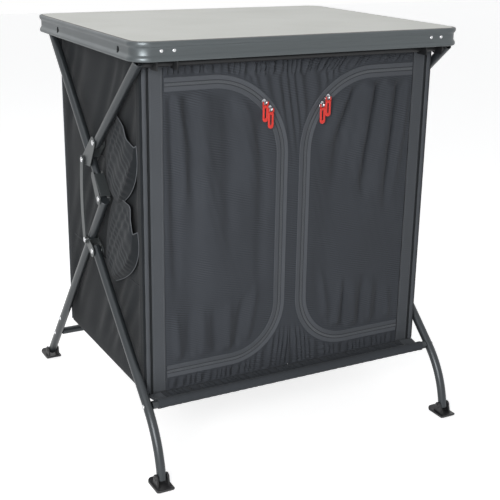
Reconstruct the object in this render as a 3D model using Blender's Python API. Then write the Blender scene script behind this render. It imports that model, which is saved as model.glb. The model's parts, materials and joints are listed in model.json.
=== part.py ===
"""Fabric camp kitchen cupboard on a folding tube stand.

A laminate worktop in an aluminium edge rim carries a fabric cabinet with two shelves, two
zipped doors and two side pockets. On each side a knee linkage of four tubes, two saddle
plates, a knuckle and a lock bar holds the worktop up, and cross bars join the two sides.

Metres. X runs to the right of somebody who faces the doors, Y runs from the doors to the
back, Z is up. Sizes are set out from the floor under the middle of the worktop, and the whole
then moves along Y so that the origin lies midway between the front and rear pads.
"""

import math

import bmesh
import bpy
import numpy as np
from mathutils import Matrix, Vector

# Driving dimensions of the whole cupboard
WORKTOP_WIDTH = 0.700
WORKTOP_DEPTH = 0.555
STAND_HEIGHT = 0.820
CORNER_RADIUS = 0.036
CABINET_FRONT_INSET = 0.0565
CABINET_BACK_INSET = 0.0705
CABINET_BOTTOM = 0.140

# Clearances
GAP = 0.0003
OVERRUN = 0.002

# Worktop and its rim
LAMINATE_THICKNESS = 0.0012
CORE_THICKNESS = 0.0105
RIM_HEIGHT = 0.035
RIM_BULGE = 0.0035
RIM_WALL = 0.0015
RIM_LEDGE_DEPTH = 0.009
RIM_LEDGE_THICKNESS = 0.0016
RIM_EDGE_ROUND = 0.0015
RIM_TOP_DROP = 0.0004
RIM_BULGE_HEIGHT = 0.009
RIM_CURVE_HEIGHT = 0.004
RIM_HOLE_WIDTH = 0.011
RIM_HOLE_HEIGHT = 0.012
RIM_HOLE_FRONT_INSET = 0.0815
RIM_HOLE_REAR_INSET = 0.1415

# Tubes of the stand
TUBE_RADIUS = 0.009
TUBE_WALL = 0.0013
TUBE_INSET = 0.018
TUBE_TO_CABINET = 0.006
HINGE_BAR_RADIUS = 0.006
CROSS_BAR_RADIUS = 0.008
KNUCKLE_TUBE_RADIUS = 0.0075

# Side linkage: places in (Y, Z), angles from +Y towards +Z, stations from the knee
KNEE_INSET = 0.3355
KNEE_DROP = 0.325
KNEE_OFFSET = 0.0095
HINGE_INSET = 0.0305
HINGE_DROP = 0.0415
REAR_UPPER_ANGLE = math.radians(45.4)
REAR_LOWER_ANGLE = math.radians(-49.7)
UPPER_PIVOT_STATION = 0.0917
UPPER_PIVOT_OFFSET = 0.050
LOCK_PIVOT_STATION = 0.0982
LOCK_PIVOT_OFFSET = -0.0195
LOCK_PIN_STATION = 0.128
LOWER_PIVOT_STATION = 0.1227
LOWER_PIVOT_OFFSET = 0.033
KNUCKLE_START = 0.0095
KNUCKLE_LENGTH = 0.046
FOOT_HINGE_HEIGHT = 0.020
FRONT_BAR_LEAD = 0.044
FRONT_BAR_DROP = 0.001
FRONT_BEND_LEAD = 0.0515
FRONT_BEND_DROP = 0.0475
FRONT_FOOT_LEAD = 0.063
REAR_BAR_RISE = 0.0873
REAR_RIVET_RISE = 0.1558
UPPER_BAR_MARGIN = 0.0025
TUBE_END_OVERHANG = 0.0085
REAR_LOWER_START = 0.006

# Plates, pins and lock bars
EAR_THICKNESS = 0.0016
EAR_RADIUS = 0.012
EAR_SMALL_RADIUS = 0.0095
SADDLE_HALF_WIDTH = 0.015
WEB_THICKNESS = 0.0018
PIN_RADIUS = 0.003
HEAD_RADIUS = 0.0052
HEAD_HEIGHT = 0.0014
HEAD_SHARE = 0.62
LUG_RADIUS = 0.0065
LUG_HALF_WIDTH = 0.006
LOCK_BAR_HALF_WIDTH = 0.008
LOCK_BAR_THICKNESS = 0.0026
LOCK_EYE_RADIUS = 0.0085
LOCK_BOW = 0.007
LOCK_SLOT_ANGLE = math.radians(151.0)
LOCK_GAP = 0.0005

# Brackets that hang the stand from the worktop
BRACKET_INSET = 0.046
BRACKET_LENGTH = 0.040
BRACKET_SHEET = 0.0016
BRACKET_DROP = 0.0155
BRACKET_EAR_REACH = 0.0095
BRACKET_RIVET_SPACING = 0.024
RIVET_RADIUS = 0.002
RIVET_HEAD_RADIUS = 0.004
RIVET_HEAD_HEIGHT = 0.0016
REST_LEAD = 0.0125
REST_LENGTH = 0.034
REST_WIDTH = 0.013
REST_HEIGHT = 0.0085

# Feet
PAD_LENGTH = 0.056
PAD_WIDTH = 0.036
PAD_THICKNESS = 0.0055
PAD_FLAT = 0.034
PAD_RISE = 0.004
FRONT_PAD_SHIFT = 0.001
REAR_PAD_SHIFT = 0.012
PAD_EAR_THICKNESS = 0.004
PAD_EAR_RADIUS = 0.008
PAD_EAR_FOOT = 0.012
FOOT_PIN_HEAD = 0.0022

# Fabric
FABRIC_THICKNESS = 0.002
BINDING_WIDTH = 0.0385
BINDING_RETURN = 0.016
BINDING_THICKNESS = 0.0018
PIPING_RADIUS = 0.0025
PANEL_TOP_GAP = 0.0022
SIDE_FOLD_DEPTH = 0.0012
BACK_FOLD_DEPTH = 0.006
DOOR_FOLD_DEPTH = 0.007
SIDE_FOLDS = 3
BACK_FOLDS = 6
DOOR_FOLDS = 5
FLOOR_THICKNESS = 0.003
SHELF_THICKNESS = 0.004
LOWER_SHELF_RISE = 0.212
UPPER_SHELF_RISE = 0.426
LEDGE_THICKNESS = 0.0016
SLEEVE_THICKNESS = 0.0014
SLEEVE_INSET = 0.006

# Doors and zips
DOOR_TOP_MARGIN = 0.083
DOOR_BOTTOM_MARGIN = 0.040
DOOR_INNER = 0.0255
DOOR_TOP_RADIUS = 0.150
DOOR_BOTTOM_RADIUS = 0.108
TAPE_WIDTH = 0.025
TAPE_THICKNESS = 0.0012
TAPE_START_GAP = 0.003
SLIDER_LENGTH = 0.0125
SLIDER_WIDTH = 0.0105
SLIDER_HEIGHT = 0.0045
SLIDER_SPREAD = math.radians(3.4)
SLIDER_ANGLE = math.radians(41.5)
BAIL_RADIUS = 0.0035
BAIL_WIRE = 0.001
BAIL_WIDTH = 0.004
PULL_LENGTH = 0.038
PULL_WIDTH = 0.011
PULL_THICKNESS = 0.002
PULL_SLOT_WIDTH = 0.004
PULL_SLOT_END_SHARE = 0.16
PULL_EYE_RADIUS = 0.0018

# Side pockets on the left wall
POCKET_INSET = 0.0175
POCKET_PAST_KNEE = 0.0105
UPPER_POCKET_RISE = 0.005
UPPER_POCKET_HEIGHT = 0.155
LOWER_POCKET_DROP = 0.165
LOWER_POCKET_HEIGHT = 0.148
POCKET_BULGE = 0.015
POCKET_CLEAR = 0.0006
POCKET_SHEET = 0.0014
POCKET_MOUTH_DIP = 0.020

# Mesh steps: counts, not sizes
TUBE_SIDES = 16
PIN_SIDES = 12
ARC_STEPS = 6
CORNER_STEPS = 6
BEND_STEPS = 5
DOOR_MIDDLE_ROWS = 5
DOOR_COLUMNS = 24
WALL_ROWS = 6
SIDE_COLUMNS = 20
BACK_COLUMNS = 36
POCKET_ROWS = 8
POCKET_COLUMNS = 12

SIDES = {"left": -1, "right": 1}
SLIDER_TURNS = {"upper": SLIDER_SPREAD, "lower": -SLIDER_SPREAD}

# Levels that follow from the sizes above
TUBE_PLANE = WORKTOP_WIDTH / 2 - TUBE_INSET
CABINET_HALF_WIDTH = TUBE_PLANE - TUBE_RADIUS - TUBE_TO_CABINET
CABINET_FRONT = CABINET_FRONT_INSET - WORKTOP_DEPTH / 2
CABINET_BACK = WORKTOP_DEPTH / 2 - CABINET_BACK_INSET
FRONT_HINGE = (HINGE_INSET - WORKTOP_DEPTH / 2, STAND_HEIGHT - HINGE_DROP)
KNEE = (WORKTOP_DEPTH / 2 - KNEE_INSET, STAND_HEIGHT - KNEE_DROP)
POCKET_START = CABINET_FRONT + POCKET_INSET
POCKET_LENGTH = KNEE[0] + POCKET_PAST_KNEE - POCKET_START
UPPER_POCKET_BOTTOM = KNEE[1] + UPPER_POCKET_RISE
LOWER_POCKET_BOTTOM = KNEE[1] - LOWER_POCKET_DROP
FRONT_BAR_PLACE = (CABINET_FRONT - FRONT_BAR_LEAD, CABINET_BOTTOM - FRONT_BAR_DROP)
FRONT_BEND_CORNER = (FRONT_BAR_PLACE[0] - FRONT_BEND_LEAD, FRONT_BAR_PLACE[1] - FRONT_BEND_DROP)
FRONT_FOOT_HINGE = (FRONT_BAR_PLACE[0] - FRONT_FOOT_LEAD, FOOT_HINGE_HEIGHT)
DOOR_TOP = STAND_HEIGHT - DOOR_TOP_MARGIN
DOOR_BOTTOM = CABINET_BOTTOM + DOOR_BOTTOM_MARGIN
RIM_BOTTOM = STAND_HEIGHT - RIM_HEIGHT
RIM_TOP = STAND_HEIGHT - RIM_TOP_DROP
CORE_TOP = STAND_HEIGHT - LAMINATE_THICKNESS - GAP
CORE_BOTTOM = CORE_TOP - CORE_THICKNESS
RIM_INNER = RIM_BULGE + RIM_WALL
LEDGE_TOP = CORE_BOTTOM - GAP
LEDGE_BOTTOM = LEDGE_TOP - RIM_LEDGE_THICKNESS
RIM_MIDDLE = (RIM_TOP + RIM_BOTTOM) / 2
PANEL_TOP = LEDGE_BOTTOM - PANEL_TOP_GAP
REST_BOTTOM = CORE_BOTTOM - GAP - REST_HEIGHT
EAR_OUT_LOW = TUBE_PLANE + TUBE_RADIUS + GAP
EAR_OUT_HIGH = EAR_OUT_LOW + EAR_THICKNESS
EAR_IN_HIGH = TUBE_PLANE - TUBE_RADIUS - GAP
EAR_IN_LOW = EAR_IN_HIGH - EAR_THICKNESS
HEAD_OUT = EAR_OUT_HIGH + HEAD_HEIGHT
HEAD_IN = EAR_IN_LOW - HEAD_HEIGHT * HEAD_SHARE
LOCK_LOW = HEAD_OUT + LOCK_GAP
LOCK_HIGH = LOCK_LOW + LOCK_BAR_THICKNESS
BINDING_INNER = CABINET_HALF_WIDTH - BINDING_WIDTH
DOOR_HINGE_X = BINDING_INNER - GAP
PANEL_FRONT_FACE = CABINET_FRONT - FABRIC_THICKNESS / 2
PANEL_REAR_FACE = CABINET_FRONT + FABRIC_THICKNESS / 2
DOOR_HINGE_Y = PANEL_FRONT_FACE - GAP
TAPE_FRONT = PANEL_FRONT_FACE - GAP - TAPE_THICKNESS
SLIDER_FRONT = TAPE_FRONT - GAP - SLIDER_HEIGHT
BAIL_AXIS_Y = SLIDER_FRONT - BAIL_RADIUS + BAIL_WIRE


def start_empty_scene():
    """Removes every object that the file opened with."""
    for thing in list(bpy.data.objects):
        bpy.data.objects.remove(thing, do_unlink=True)


def make_material(name, colour, roughness, metallic=0.0):
    """A Principled BSDF material of one colour."""
    material = bpy.data.materials.new(name)
    material.use_nodes = True
    shader = material.node_tree.nodes["Principled BSDF"]
    shader.inputs["Base Color"].default_value = (*colour, 1.0)
    shader.inputs["Roughness"].default_value = roughness
    shader.inputs["Metallic"].default_value = metallic
    return material


def add_object(name, points, faces, material):
    """A mesh object whose faces are turned outwards, shaded smooth between its sharp edges."""
    mesh = bpy.data.meshes.new(name)
    mesh.from_pydata([tuple(point) for point in points], [], faces)
    shape = bmesh.new()
    shape.from_mesh(mesh)
    bmesh.ops.recalc_face_normals(shape, faces=shape.faces)
    shape.to_mesh(mesh)
    shape.free()
    mesh.shade_smooth()
    mesh.set_sharp_from_angle(angle=math.radians(35))
    mesh.materials.append(material)
    thing = bpy.data.objects.new(name, mesh)
    bpy.context.scene.collection.objects.link(thing)
    return thing


def combine(body, tool, operation):
    """Joins tool to body, or cuts it from body, and takes the tool away."""
    change = body.modifiers.new("combine", "BOOLEAN")
    change.operation = operation
    change.solver = "EXACT"
    change.object = tool
    bpy.context.view_layer.update()
    graph = bpy.context.evaluated_depsgraph_get()
    mesh = bpy.data.meshes.new_from_object(body.evaluated_get(graph))
    body.modifiers.remove(change)
    body.data = mesh
    bpy.data.objects.remove(tool, do_unlink=True)
    mesh.shade_smooth()
    mesh.set_sharp_from_angle(angle=math.radians(35))
    return body


def union(body, *tools):
    """Joins each tool to body."""
    for tool in tools:
        combine(body, tool, "UNION")
    return body


def cut(body, *tools):
    """Cuts each tool from body."""
    for tool in tools:
        combine(body, tool, "DIFFERENCE")
    return body


def loft(name, rings, material, closed=False):
    """A solid through equal rings of points. Its ends are capped unless the rings close on themselves."""
    count = len(rings[0])
    points = [point for ring in rings for point in ring]
    faces = []
    spans = len(rings) if closed else len(rings) - 1
    for row in range(spans):
        first = row * count
        second = ((row + 1) % len(rings)) * count
        for column in range(count):
            after = (column + 1) % count
            faces.append((first + column, first + after, second + after, second + column))
    if not closed:
        faces.append(tuple(range(count)))
        faces.append(tuple(range(len(points) - count, len(points))))
    return add_object(name, points, faces, material)


def block(name, low, high, material):
    """A box between two corners."""
    rings = [
        [(low[0], low[1], z), (high[0], low[1], z), (high[0], high[1], z), (low[0], high[1], z)]
        for z in (low[2], high[2])
    ]
    return loft(name, rings, material)


def prism_x(name, outline, x_low, x_high, material):
    """An outline in (Y, Z) carried from x_low to x_high."""
    rings = [[(x, y, z) for y, z in outline] for x in (x_low, x_high)]
    return loft(name, rings, material)


def prism_y(name, outline, y_low, y_high, material):
    """An outline in (X, Z) carried from y_low to y_high."""
    rings = [[(x, y, z) for x, z in outline] for y in (y_low, y_high)]
    return loft(name, rings, material)


def prism_z(name, outline, z_low, z_high, material):
    """An outline in (X, Y) carried from z_low to z_high."""
    rings = [[(x, y, z) for x, y in outline] for z in (z_low, z_high)]
    return loft(name, rings, material)


def side_range(side, low, high):
    """Two distances from the middle plane as ordered X places on one side."""
    return sorted((SIDES[side] * low, SIDES[side] * high))


def arc(centre, radius, start, end, steps=ARC_STEPS):
    """Points along an arc, both ends included."""
    return [
        (centre[0] + radius * math.cos(angle), centre[1] + radius * math.sin(angle))
        for angle in np.linspace(start, end, steps + 1)
    ]


def circle(centre, radius, steps=PIN_SIDES):
    """Points round a circle, with a flat towards the first axis."""
    half_step = math.pi / steps
    return arc(centre, radius, half_step, math.tau - half_step, steps - 1)


def rounded_rectangle(half_width, half_depth, radius, steps=CORNER_STEPS):
    """The outline of a rectangle round the origin with round corners."""
    corners = ((1, 1, 0), (-1, 1, 1), (-1, -1, 2), (1, -1, 3))
    points = []
    for x_sign, y_sign, quarter in corners:
        centre = (x_sign * (half_width - radius), y_sign * (half_depth - radius))
        start = quarter * math.pi / 2
        points += arc(centre, radius, start, start + math.pi / 2, steps)
    return points


def capsule(first, second, first_radius, second_radius):
    """The outline round two circles, joined by their outer tangents."""
    along = math.atan2(second[1] - first[1], second[0] - first[0])
    length = math.dist(first, second)
    lean = math.acos((first_radius - second_radius) / length)
    outline = arc(second, second_radius, along - lean, along + lean)
    outline += arc(first, first_radius, along + lean, along - lean + math.tau)
    return outline


def along(origin, angle, station, offset=0.0):
    """The place at a station along a direction in (Y, Z), moved to its left by offset."""
    return (
        origin[0] + station * math.cos(angle) - offset * math.sin(angle),
        origin[1] + station * math.sin(angle) + offset * math.cos(angle),
    )


def tube(name, path, radii, material, wall=TUBE_WALL, sides=TUBE_SIDES):
    """A hollow tube with open ends along a flat path, with a radius for each of its points."""
    path = [Vector(point) for point in path]
    runs = [(after - before).normalized() for before, after in zip(path, path[1:])]
    flat_side = Vector((0, 1, 0)) if abs(runs[0].x) > math.cos(math.pi / 4) else Vector((1, 0, 0))
    outer = []
    inner = []
    for index, point in enumerate(path):
        before = runs[max(index - 1, 0)]
        after = runs[min(index, len(runs) - 1)]
        upright = (before + after).normalized().cross(flat_side).normalized()
        turns = [math.tau * step / sides for step in range(sides)]
        spokes = [flat_side * math.cos(turn) + upright * math.sin(turn) for turn in turns]
        outer.append([point + spoke * radii[index] for spoke in spokes])
        inner.append([point + spoke * (radii[index] - wall) for spoke in spokes])
    return loft(name, outer + inner[::-1], material, closed=True)


def side_tube(name, side, stops, radii, material):
    """A tube in the plane of one side's linkage through points in (Y, Z)."""
    x = SIDES[side] * TUBE_PLANE
    return tube(name, [(x, y, z) for y, z in stops], radii, material)


def turned_x(name, centre, profile, material, steps=PIN_SIDES):
    """A turned solid on an axis along X through a place in (Y, Z). The profile lists (x, radius)."""
    rings = [[(x, y, z) for y, z in circle(centre, radius, steps)] for x, radius in profile]
    return loft(name, rings, material)


def headed_pin(name, side, centre, low, high, material, inner_head=True):
    """A pin between two distances from the middle plane, with a low domed head outside its ear."""
    flat = HEAD_RADIUS * HEAD_SHARE
    step = HEAD_HEIGHT * HEAD_SHARE
    profile = []
    if inner_head:
        profile += [(low, flat), (low + step - GAP, HEAD_RADIUS), (low + step, PIN_RADIUS)]
    else:
        profile += [(low, PIN_RADIUS)]
    rim = high - HEAD_HEIGHT
    profile += [(rim - GAP, PIN_RADIUS), (rim, HEAD_RADIUS), (rim + step, HEAD_RADIUS), (high, flat)]
    sign = SIDES[side]
    return turned_x(name, centre, [(sign * x, radius) for x, radius in profile], material)


def hole_x(centre, radius, low, high, side):
    """A cutter for a round hole along X."""
    x_low, x_high = side_range(side, low, high)
    return prism_x("hole_cutter", circle(centre, radius), x_low, x_high, None)


def cut_pin_holes(thing, side, places):
    """Cuts a running hole for a pin through a side tube at each place in (Y, Z)."""
    reach = TUBE_RADIUS + OVERRUN
    for place in places:
        cutter = hole_x(place, PIN_RADIUS + GAP, TUBE_PLANE - reach, TUBE_PLANE + reach, side)
        cut(thing, cutter)
    return thing


def rivet_head(side, place, material):
    """A domed rivet head on the outside of a side tube at a place in (Y, Z)."""
    base = TUBE_PLANE + TUBE_RADIUS - TUBE_WALL * HEAD_SHARE
    face = EAR_OUT_LOW + HEAD_HEIGHT
    step = HEAD_HEIGHT * HEAD_SHARE
    profile = [(base, HEAD_RADIUS), (face - step, HEAD_RADIUS), (face, HEAD_RADIUS * HEAD_SHARE)]
    sign = SIDES[side]
    return turned_x("rivet_head", place, [(sign * x, r) for x, r in profile], material)


def cloth_grid(name, place, rows, columns, material):
    """A closed sheet of cloth. place(u, v, back) gives the point of its front or back face."""
    points = []
    for back in (0, 1):
        for row in range(rows + 1):
            for column in range(columns + 1):
                points.append(place(column / columns, row / rows, back))
    layer = (rows + 1) * (columns + 1)
    wide = columns + 1
    faces = []
    for row in range(rows):
        for column in range(columns):
            corner = row * wide + column
            face = (corner, corner + 1, corner + 1 + wide, corner + wide)
            faces.append(face)
            faces.append(tuple(layer + index for index in reversed(face)))
    for row in range(rows):
        for corner in (row * wide, row * wide + columns):
            faces.append((corner, corner + wide, corner + wide + layer, corner + layer))
    for column in range(columns):
        for corner in (column, rows * wide + column):
            faces.append((corner, corner + 1, corner + 1 + layer, corner + layer))
    return add_object(name, points, faces, material)


def fold_wave(u, folds):
    """Soft vertical folds from 0 to 1 across a cloth, unlike in width, and still at its two edges."""
    uneven_share = 0.11
    phase = folds * math.tau * (u + uneven_share * math.sin(math.tau * u))
    return (1 - math.cos(phase)) / 2


def edge_calm(share, reach_share=0.12):
    """0 at either end of a length and 1 a little way in."""
    near = min(share, 1 - share) / reach_share
    return math.sin(min(near, 1.0) * math.pi / 2) ** 2


# Places of the linkage in (Y, Z)
UPPER_AXIS = along(KNEE, REAR_UPPER_ANGLE, 0, KNEE_OFFSET)
LOWER_AXIS = along(KNEE, REAR_LOWER_ANGLE, 0, -KNEE_OFFSET)
UPPER_PIVOT = along(UPPER_AXIS, REAR_UPPER_ANGLE, UPPER_PIVOT_STATION, UPPER_PIVOT_OFFSET)
LOCK_PIVOT = along(UPPER_AXIS, REAR_UPPER_ANGLE, LOCK_PIVOT_STATION, LOCK_PIVOT_OFFSET)
LOCK_PIN = along(LOWER_AXIS, REAR_LOWER_ANGLE, LOCK_PIN_STATION)
LOWER_PIVOT = along(LOWER_AXIS, REAR_LOWER_ANGLE, LOWER_PIVOT_STATION, -LOWER_PIVOT_OFFSET)
REAR_FOOT_STATION = (LOWER_AXIS[1] - FOOT_HINGE_HEIGHT) / -math.sin(REAR_LOWER_ANGLE)
REAR_FOOT_HINGE = along(LOWER_AXIS, REAR_LOWER_ANGLE, REAR_FOOT_STATION)
REAR_BAR_PLACE = along(REAR_FOOT_HINGE, REAR_LOWER_ANGLE, -REAR_BAR_RISE)
REAR_RIVET_PLACE = along(REAR_FOOT_HINGE, REAR_LOWER_ANGLE, -REAR_RIVET_RISE)
FRONT_UPPER_ANGLE = math.atan2(UPPER_PIVOT[1] - FRONT_HINGE[1], UPPER_PIVOT[0] - FRONT_HINGE[0])
TUBE_END_HEIGHT = REST_BOTTOM - GAP - TUBE_RADIUS * math.cos(REAR_UPPER_ANGLE)
REAR_UPPER_LENGTH = (TUBE_END_HEIGHT - UPPER_AXIS[1]) / math.sin(REAR_UPPER_ANGLE)
REAR_UPPER_TOP = along(UPPER_AXIS, REAR_UPPER_ANGLE, REAR_UPPER_LENGTH, TUBE_RADIUS)
UPPER_BAR_STATION = REAR_UPPER_LENGTH - HINGE_BAR_RADIUS - UPPER_BAR_MARGIN
UPPER_REAR_BAR_PLACE = along(UPPER_AXIS, REAR_UPPER_ANGLE, UPPER_BAR_STATION)
FRONT_PAD_EDGE = FRONT_FOOT_HINGE[0] + FRONT_PAD_SHIFT - PAD_LENGTH / 2
REAR_PAD_EDGE = REAR_FOOT_HINGE[0] + REAR_PAD_SHIFT + PAD_LENGTH / 2


def rim_profile():
    """The rim's section as (distance inwards from the outermost face, height)."""
    groove_low = RIM_BOTTOM + RIM_BULGE_HEIGHT
    groove_high = RIM_TOP - RIM_BULGE_HEIGHT
    return [
        (0, RIM_TOP - RIM_EDGE_ROUND),
        (RIM_EDGE_ROUND, RIM_TOP),
        (RIM_INNER, RIM_TOP),
        (RIM_INNER, LEDGE_TOP),
        (RIM_INNER + RIM_LEDGE_DEPTH, LEDGE_TOP),
        (RIM_INNER + RIM_LEDGE_DEPTH, LEDGE_BOTTOM),
        (RIM_INNER, LEDGE_BOTTOM),
        (RIM_INNER, RIM_BOTTOM + RIM_EDGE_ROUND),
        (RIM_BULGE, RIM_BOTTOM),
        (RIM_EDGE_ROUND, RIM_BOTTOM),
        (0, RIM_BOTTOM + RIM_EDGE_ROUND),
        (0, groove_low - RIM_CURVE_HEIGHT),
        (RIM_BULGE * math.sin(math.pi / 6), groove_low - RIM_CURVE_HEIGHT / 2),
        (RIM_BULGE, groove_low + RIM_CURVE_HEIGHT / 2),
        (RIM_BULGE, groove_high - RIM_CURVE_HEIGHT / 2),
        (RIM_BULGE * math.sin(math.pi / 6), groove_high + RIM_CURVE_HEIGHT / 2),
        (0, groove_high + RIM_CURVE_HEIGHT),
    ]


def worktop_outline(inset):
    """The worktop's outline moved inwards by inset."""
    return rounded_rectangle(
        WORKTOP_WIDTH / 2 - inset, WORKTOP_DEPTH / 2 - inset, CORNER_RADIUS - inset
    )


def make_worktop(finish):
    """The laminate sheet, the core board and the aluminium rim round them."""
    board_outline = worktop_outline(RIM_INNER + GAP)
    prism_z("worktop_laminate", board_outline, CORE_TOP + GAP, STAND_HEIGHT, finish["laminate"])
    prism_z("worktop_core", board_outline, CORE_BOTTOM, CORE_TOP, finish["board"])
    rings = []
    section = rim_profile()
    paths = [worktop_outline(inset) for inset, _ in section]
    for index in range(len(paths[0])):
        rings.append([(*path[index], height) for path, (_, height) in zip(paths, section)])
    rim = loft("edge_rim", rings, finish["aluminium"], closed=True)
    front = -WORKTOP_DEPTH / 2
    for side in SIDES:
        for place in bracket_rivet_places(side):
            outline = circle((place, RIM_MIDDLE), RIVET_RADIUS + GAP)
            low = front + RIM_BULGE - OVERRUN
            cut(rim, prism_y("hole_cutter", outline, low, front + RIM_INNER + OVERRUN, None))
        for place in (front + RIM_HOLE_FRONT_INSET, -front - RIM_HOLE_REAR_INSET):
            radius = RIM_HOLE_WIDTH / 2
            top = LEDGE_BOTTOM - GAP - radius
            low = arc((place, top + RIM_HOLE_WIDTH - RIM_HOLE_HEIGHT), radius, math.pi, math.tau)
            high = arc((place, top), radius, 0, math.pi)
            x_low, x_high = side_range(
                side,
                WORKTOP_WIDTH / 2 - RIM_INNER - OVERRUN,
                WORKTOP_WIDTH / 2 + OVERRUN,
            )
            cut(rim, prism_x("hole_cutter", low + high, x_low, x_high, None))


def bracket_rivet_places(side):
    """The X places of the two rivets that hold one front bracket."""
    return [
        SIDES[side] * (TUBE_PLANE - BRACKET_INSET + shift * BRACKET_RIVET_SPACING / 2)
        for shift in (-1, 1)
    ]


def make_front_bracket(side, finish):
    """A sheet bracket behind the rim whose two ears carry the front hinge bar, with its rivets."""
    name = f"front_bracket_{side}"
    front = -WORKTOP_DEPTH / 2 + RIM_INNER + GAP
    middle = TUBE_PLANE - BRACKET_INSET
    x_low, x_high = side_range(side, middle - BRACKET_LENGTH / 2, middle + BRACKET_LENGTH / 2)
    top = LEDGE_BOTTOM - GAP
    bottom = top - BRACKET_DROP
    bracket = block(
        name, (x_low, front, bottom), (x_high, front + BRACKET_SHEET, top), finish["steel"]
    )
    reach = FRONT_HINGE[0] + BRACKET_EAR_REACH
    for x in (x_low, x_high - BRACKET_SHEET):
        low = (x, front + BRACKET_SHEET / 2, FRONT_HINGE[1] - BRACKET_EAR_REACH)
        ear = block("bracket_ear", low, (x + BRACKET_SHEET, reach, top), finish["steel"])
        union(bracket, ear)
    bore = circle(FRONT_HINGE, HINGE_BAR_RADIUS + GAP, TUBE_SIDES)
    cut(bracket, prism_x("hole_cutter", bore, x_low - OVERRUN, x_high + OVERRUN, None))
    groove = -WORKTOP_DEPTH / 2 + RIM_BULGE - GAP
    for place in bracket_rivet_places(side):
        crown = RIVET_HEAD_RADIUS * HEAD_SHARE
        profile = [
            (front + BRACKET_SHEET / 2, RIVET_RADIUS),
            (groove, RIVET_RADIUS),
            (groove - GAP, RIVET_HEAD_RADIUS),
            (groove - RIVET_HEAD_HEIGHT * HEAD_SHARE, RIVET_HEAD_RADIUS),
            (groove - RIVET_HEAD_HEIGHT, crown),
        ]
        rings = [
            [(x, y, z) for x, z in circle((place, RIM_MIDDLE), radius)] for y, radius in profile
        ]
        union(bracket, loft("rivet", rings, finish["steel"]))
    return bracket


def make_rear_rest(side, finish):
    """A block under the board that the top of the rear upper tube bears against."""
    outer = WORKTOP_WIDTH / 2 - RIM_INNER - RIM_LEDGE_DEPTH - GAP
    x_low, x_high = side_range(side, outer - REST_WIDTH, outer)
    front = REAR_UPPER_TOP[0] - REST_LEAD
    low = (x_low, front, REST_BOTTOM)
    high = (x_high, front + REST_LENGTH, CORE_BOTTOM - GAP)
    return block(f"rear_rest_{side}", low, high, finish["plastic"])


def cross_bar(name, place, radius, reach, material):
    """A hollow bar along X through a place in (Y, Z) that ends at reach on each side."""
    ends = [(-reach, *place), (reach, *place)]
    return tube(name, ends, [radius, radius], material)


def make_front_upper_legs(finish):
    """The hinge bar under the worktop's front edge and the two tubes that swing on it."""
    steel = finish["tube"]
    cross_bar("front_hinge_bar", FRONT_HINGE, HINGE_BAR_RADIUS, TUBE_PLANE + TUBE_RADIUS, steel)
    start = along(FRONT_HINGE, FRONT_UPPER_ANGLE, HINGE_BAR_RADIUS + GAP)
    end = along(UPPER_PIVOT, FRONT_UPPER_ANGLE, TUBE_END_OVERHANG)
    for side in SIDES:
        name = f"front_upper_tube_{side}"
        leg = side_tube(name, side, [start, end], [TUBE_RADIUS] * 2, steel)
        cut_pin_holes(leg, side, [UPPER_PIVOT])


def make_rear_upper_legs(finish):
    """The tubes from the knee to the worktop's back edge, with their bar, plates and knuckles."""
    steel = finish["tube"]
    reach = TUBE_PLANE - TUBE_RADIUS - GAP
    cross_bar("rear_upper_bar", UPPER_REAR_BAR_PLACE, HINGE_BAR_RADIUS, reach, steel)
    taper_start = UPPER_PIVOT_STATION - SADDLE_HALF_WIDTH
    taper_end = taper_start + TUBE_RADIUS
    stations = (KNUCKLE_START, taper_start, taper_end, REAR_UPPER_LENGTH)
    stops = [along(UPPER_AXIS, REAR_UPPER_ANGLE, station) for station in stations]
    radii = [KNUCKLE_TUBE_RADIUS, KNUCKLE_TUBE_RADIUS, TUBE_RADIUS, TUBE_RADIUS]
    for side in SIDES:
        side_tube(f"rear_upper_tube_{side}", side, stops, radii, steel)
        make_upper_plate(side, finish)
        make_knuckle(side, finish)


def make_upper_plate(side, finish):
    """The saddle on the rear upper tube that carries the front upper tube and the lock bar."""
    steel = finish["plate"]
    foot = along(UPPER_AXIS, REAR_UPPER_ANGLE, UPPER_PIVOT_STATION)
    outer = capsule(UPPER_PIVOT, LOCK_PIVOT, EAR_RADIUS, EAR_SMALL_RADIUS)
    plate = prism_x(f"upper_plate_{side}", outer, *side_range(side, EAR_OUT_LOW, EAR_OUT_HIGH), steel)
    inner = capsule(UPPER_PIVOT, foot, EAR_RADIUS, EAR_SMALL_RADIUS)
    inner_ear = prism_x("inner_ear", inner, *side_range(side, EAR_IN_LOW, EAR_IN_HIGH), steel)
    width = EAR_SMALL_RADIUS
    low = TUBE_RADIUS + GAP
    corners = ((-width, low), (width, low), (width, low + WEB_THICKNESS), (-width, low + WEB_THICKNESS))
    web_outline = [along(foot, REAR_UPPER_ANGLE, station, offset) for station, offset in corners]
    middle = (EAR_THICKNESS / 2) + EAR_IN_LOW
    web = prism_x("web", web_outline, *side_range(side, middle, EAR_OUT_LOW + EAR_THICKNESS / 2), steel)
    pin = headed_pin("pin", side, UPPER_PIVOT, HEAD_IN, HEAD_OUT, steel)
    union(plate, web, inner_ear, pin, lock_stud(side, LOCK_PIVOT, EAR_OUT_LOW, steel))
    return plate


def lock_stud(side, place, start, material):
    """The shouldered stud that holds a lock bar, with a flat head outside it."""
    face = LOCK_HIGH + GAP
    profile = [
        (start + EAR_THICKNESS / 2, PIN_RADIUS),
        (face, PIN_RADIUS),
        (face + GAP, HEAD_RADIUS),
        (face + HEAD_HEIGHT, HEAD_RADIUS * HEAD_SHARE),
    ]
    sign = SIDES[side]
    return turned_x("stud", place, [(sign * x, r) for x, r in profile], material)


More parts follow.
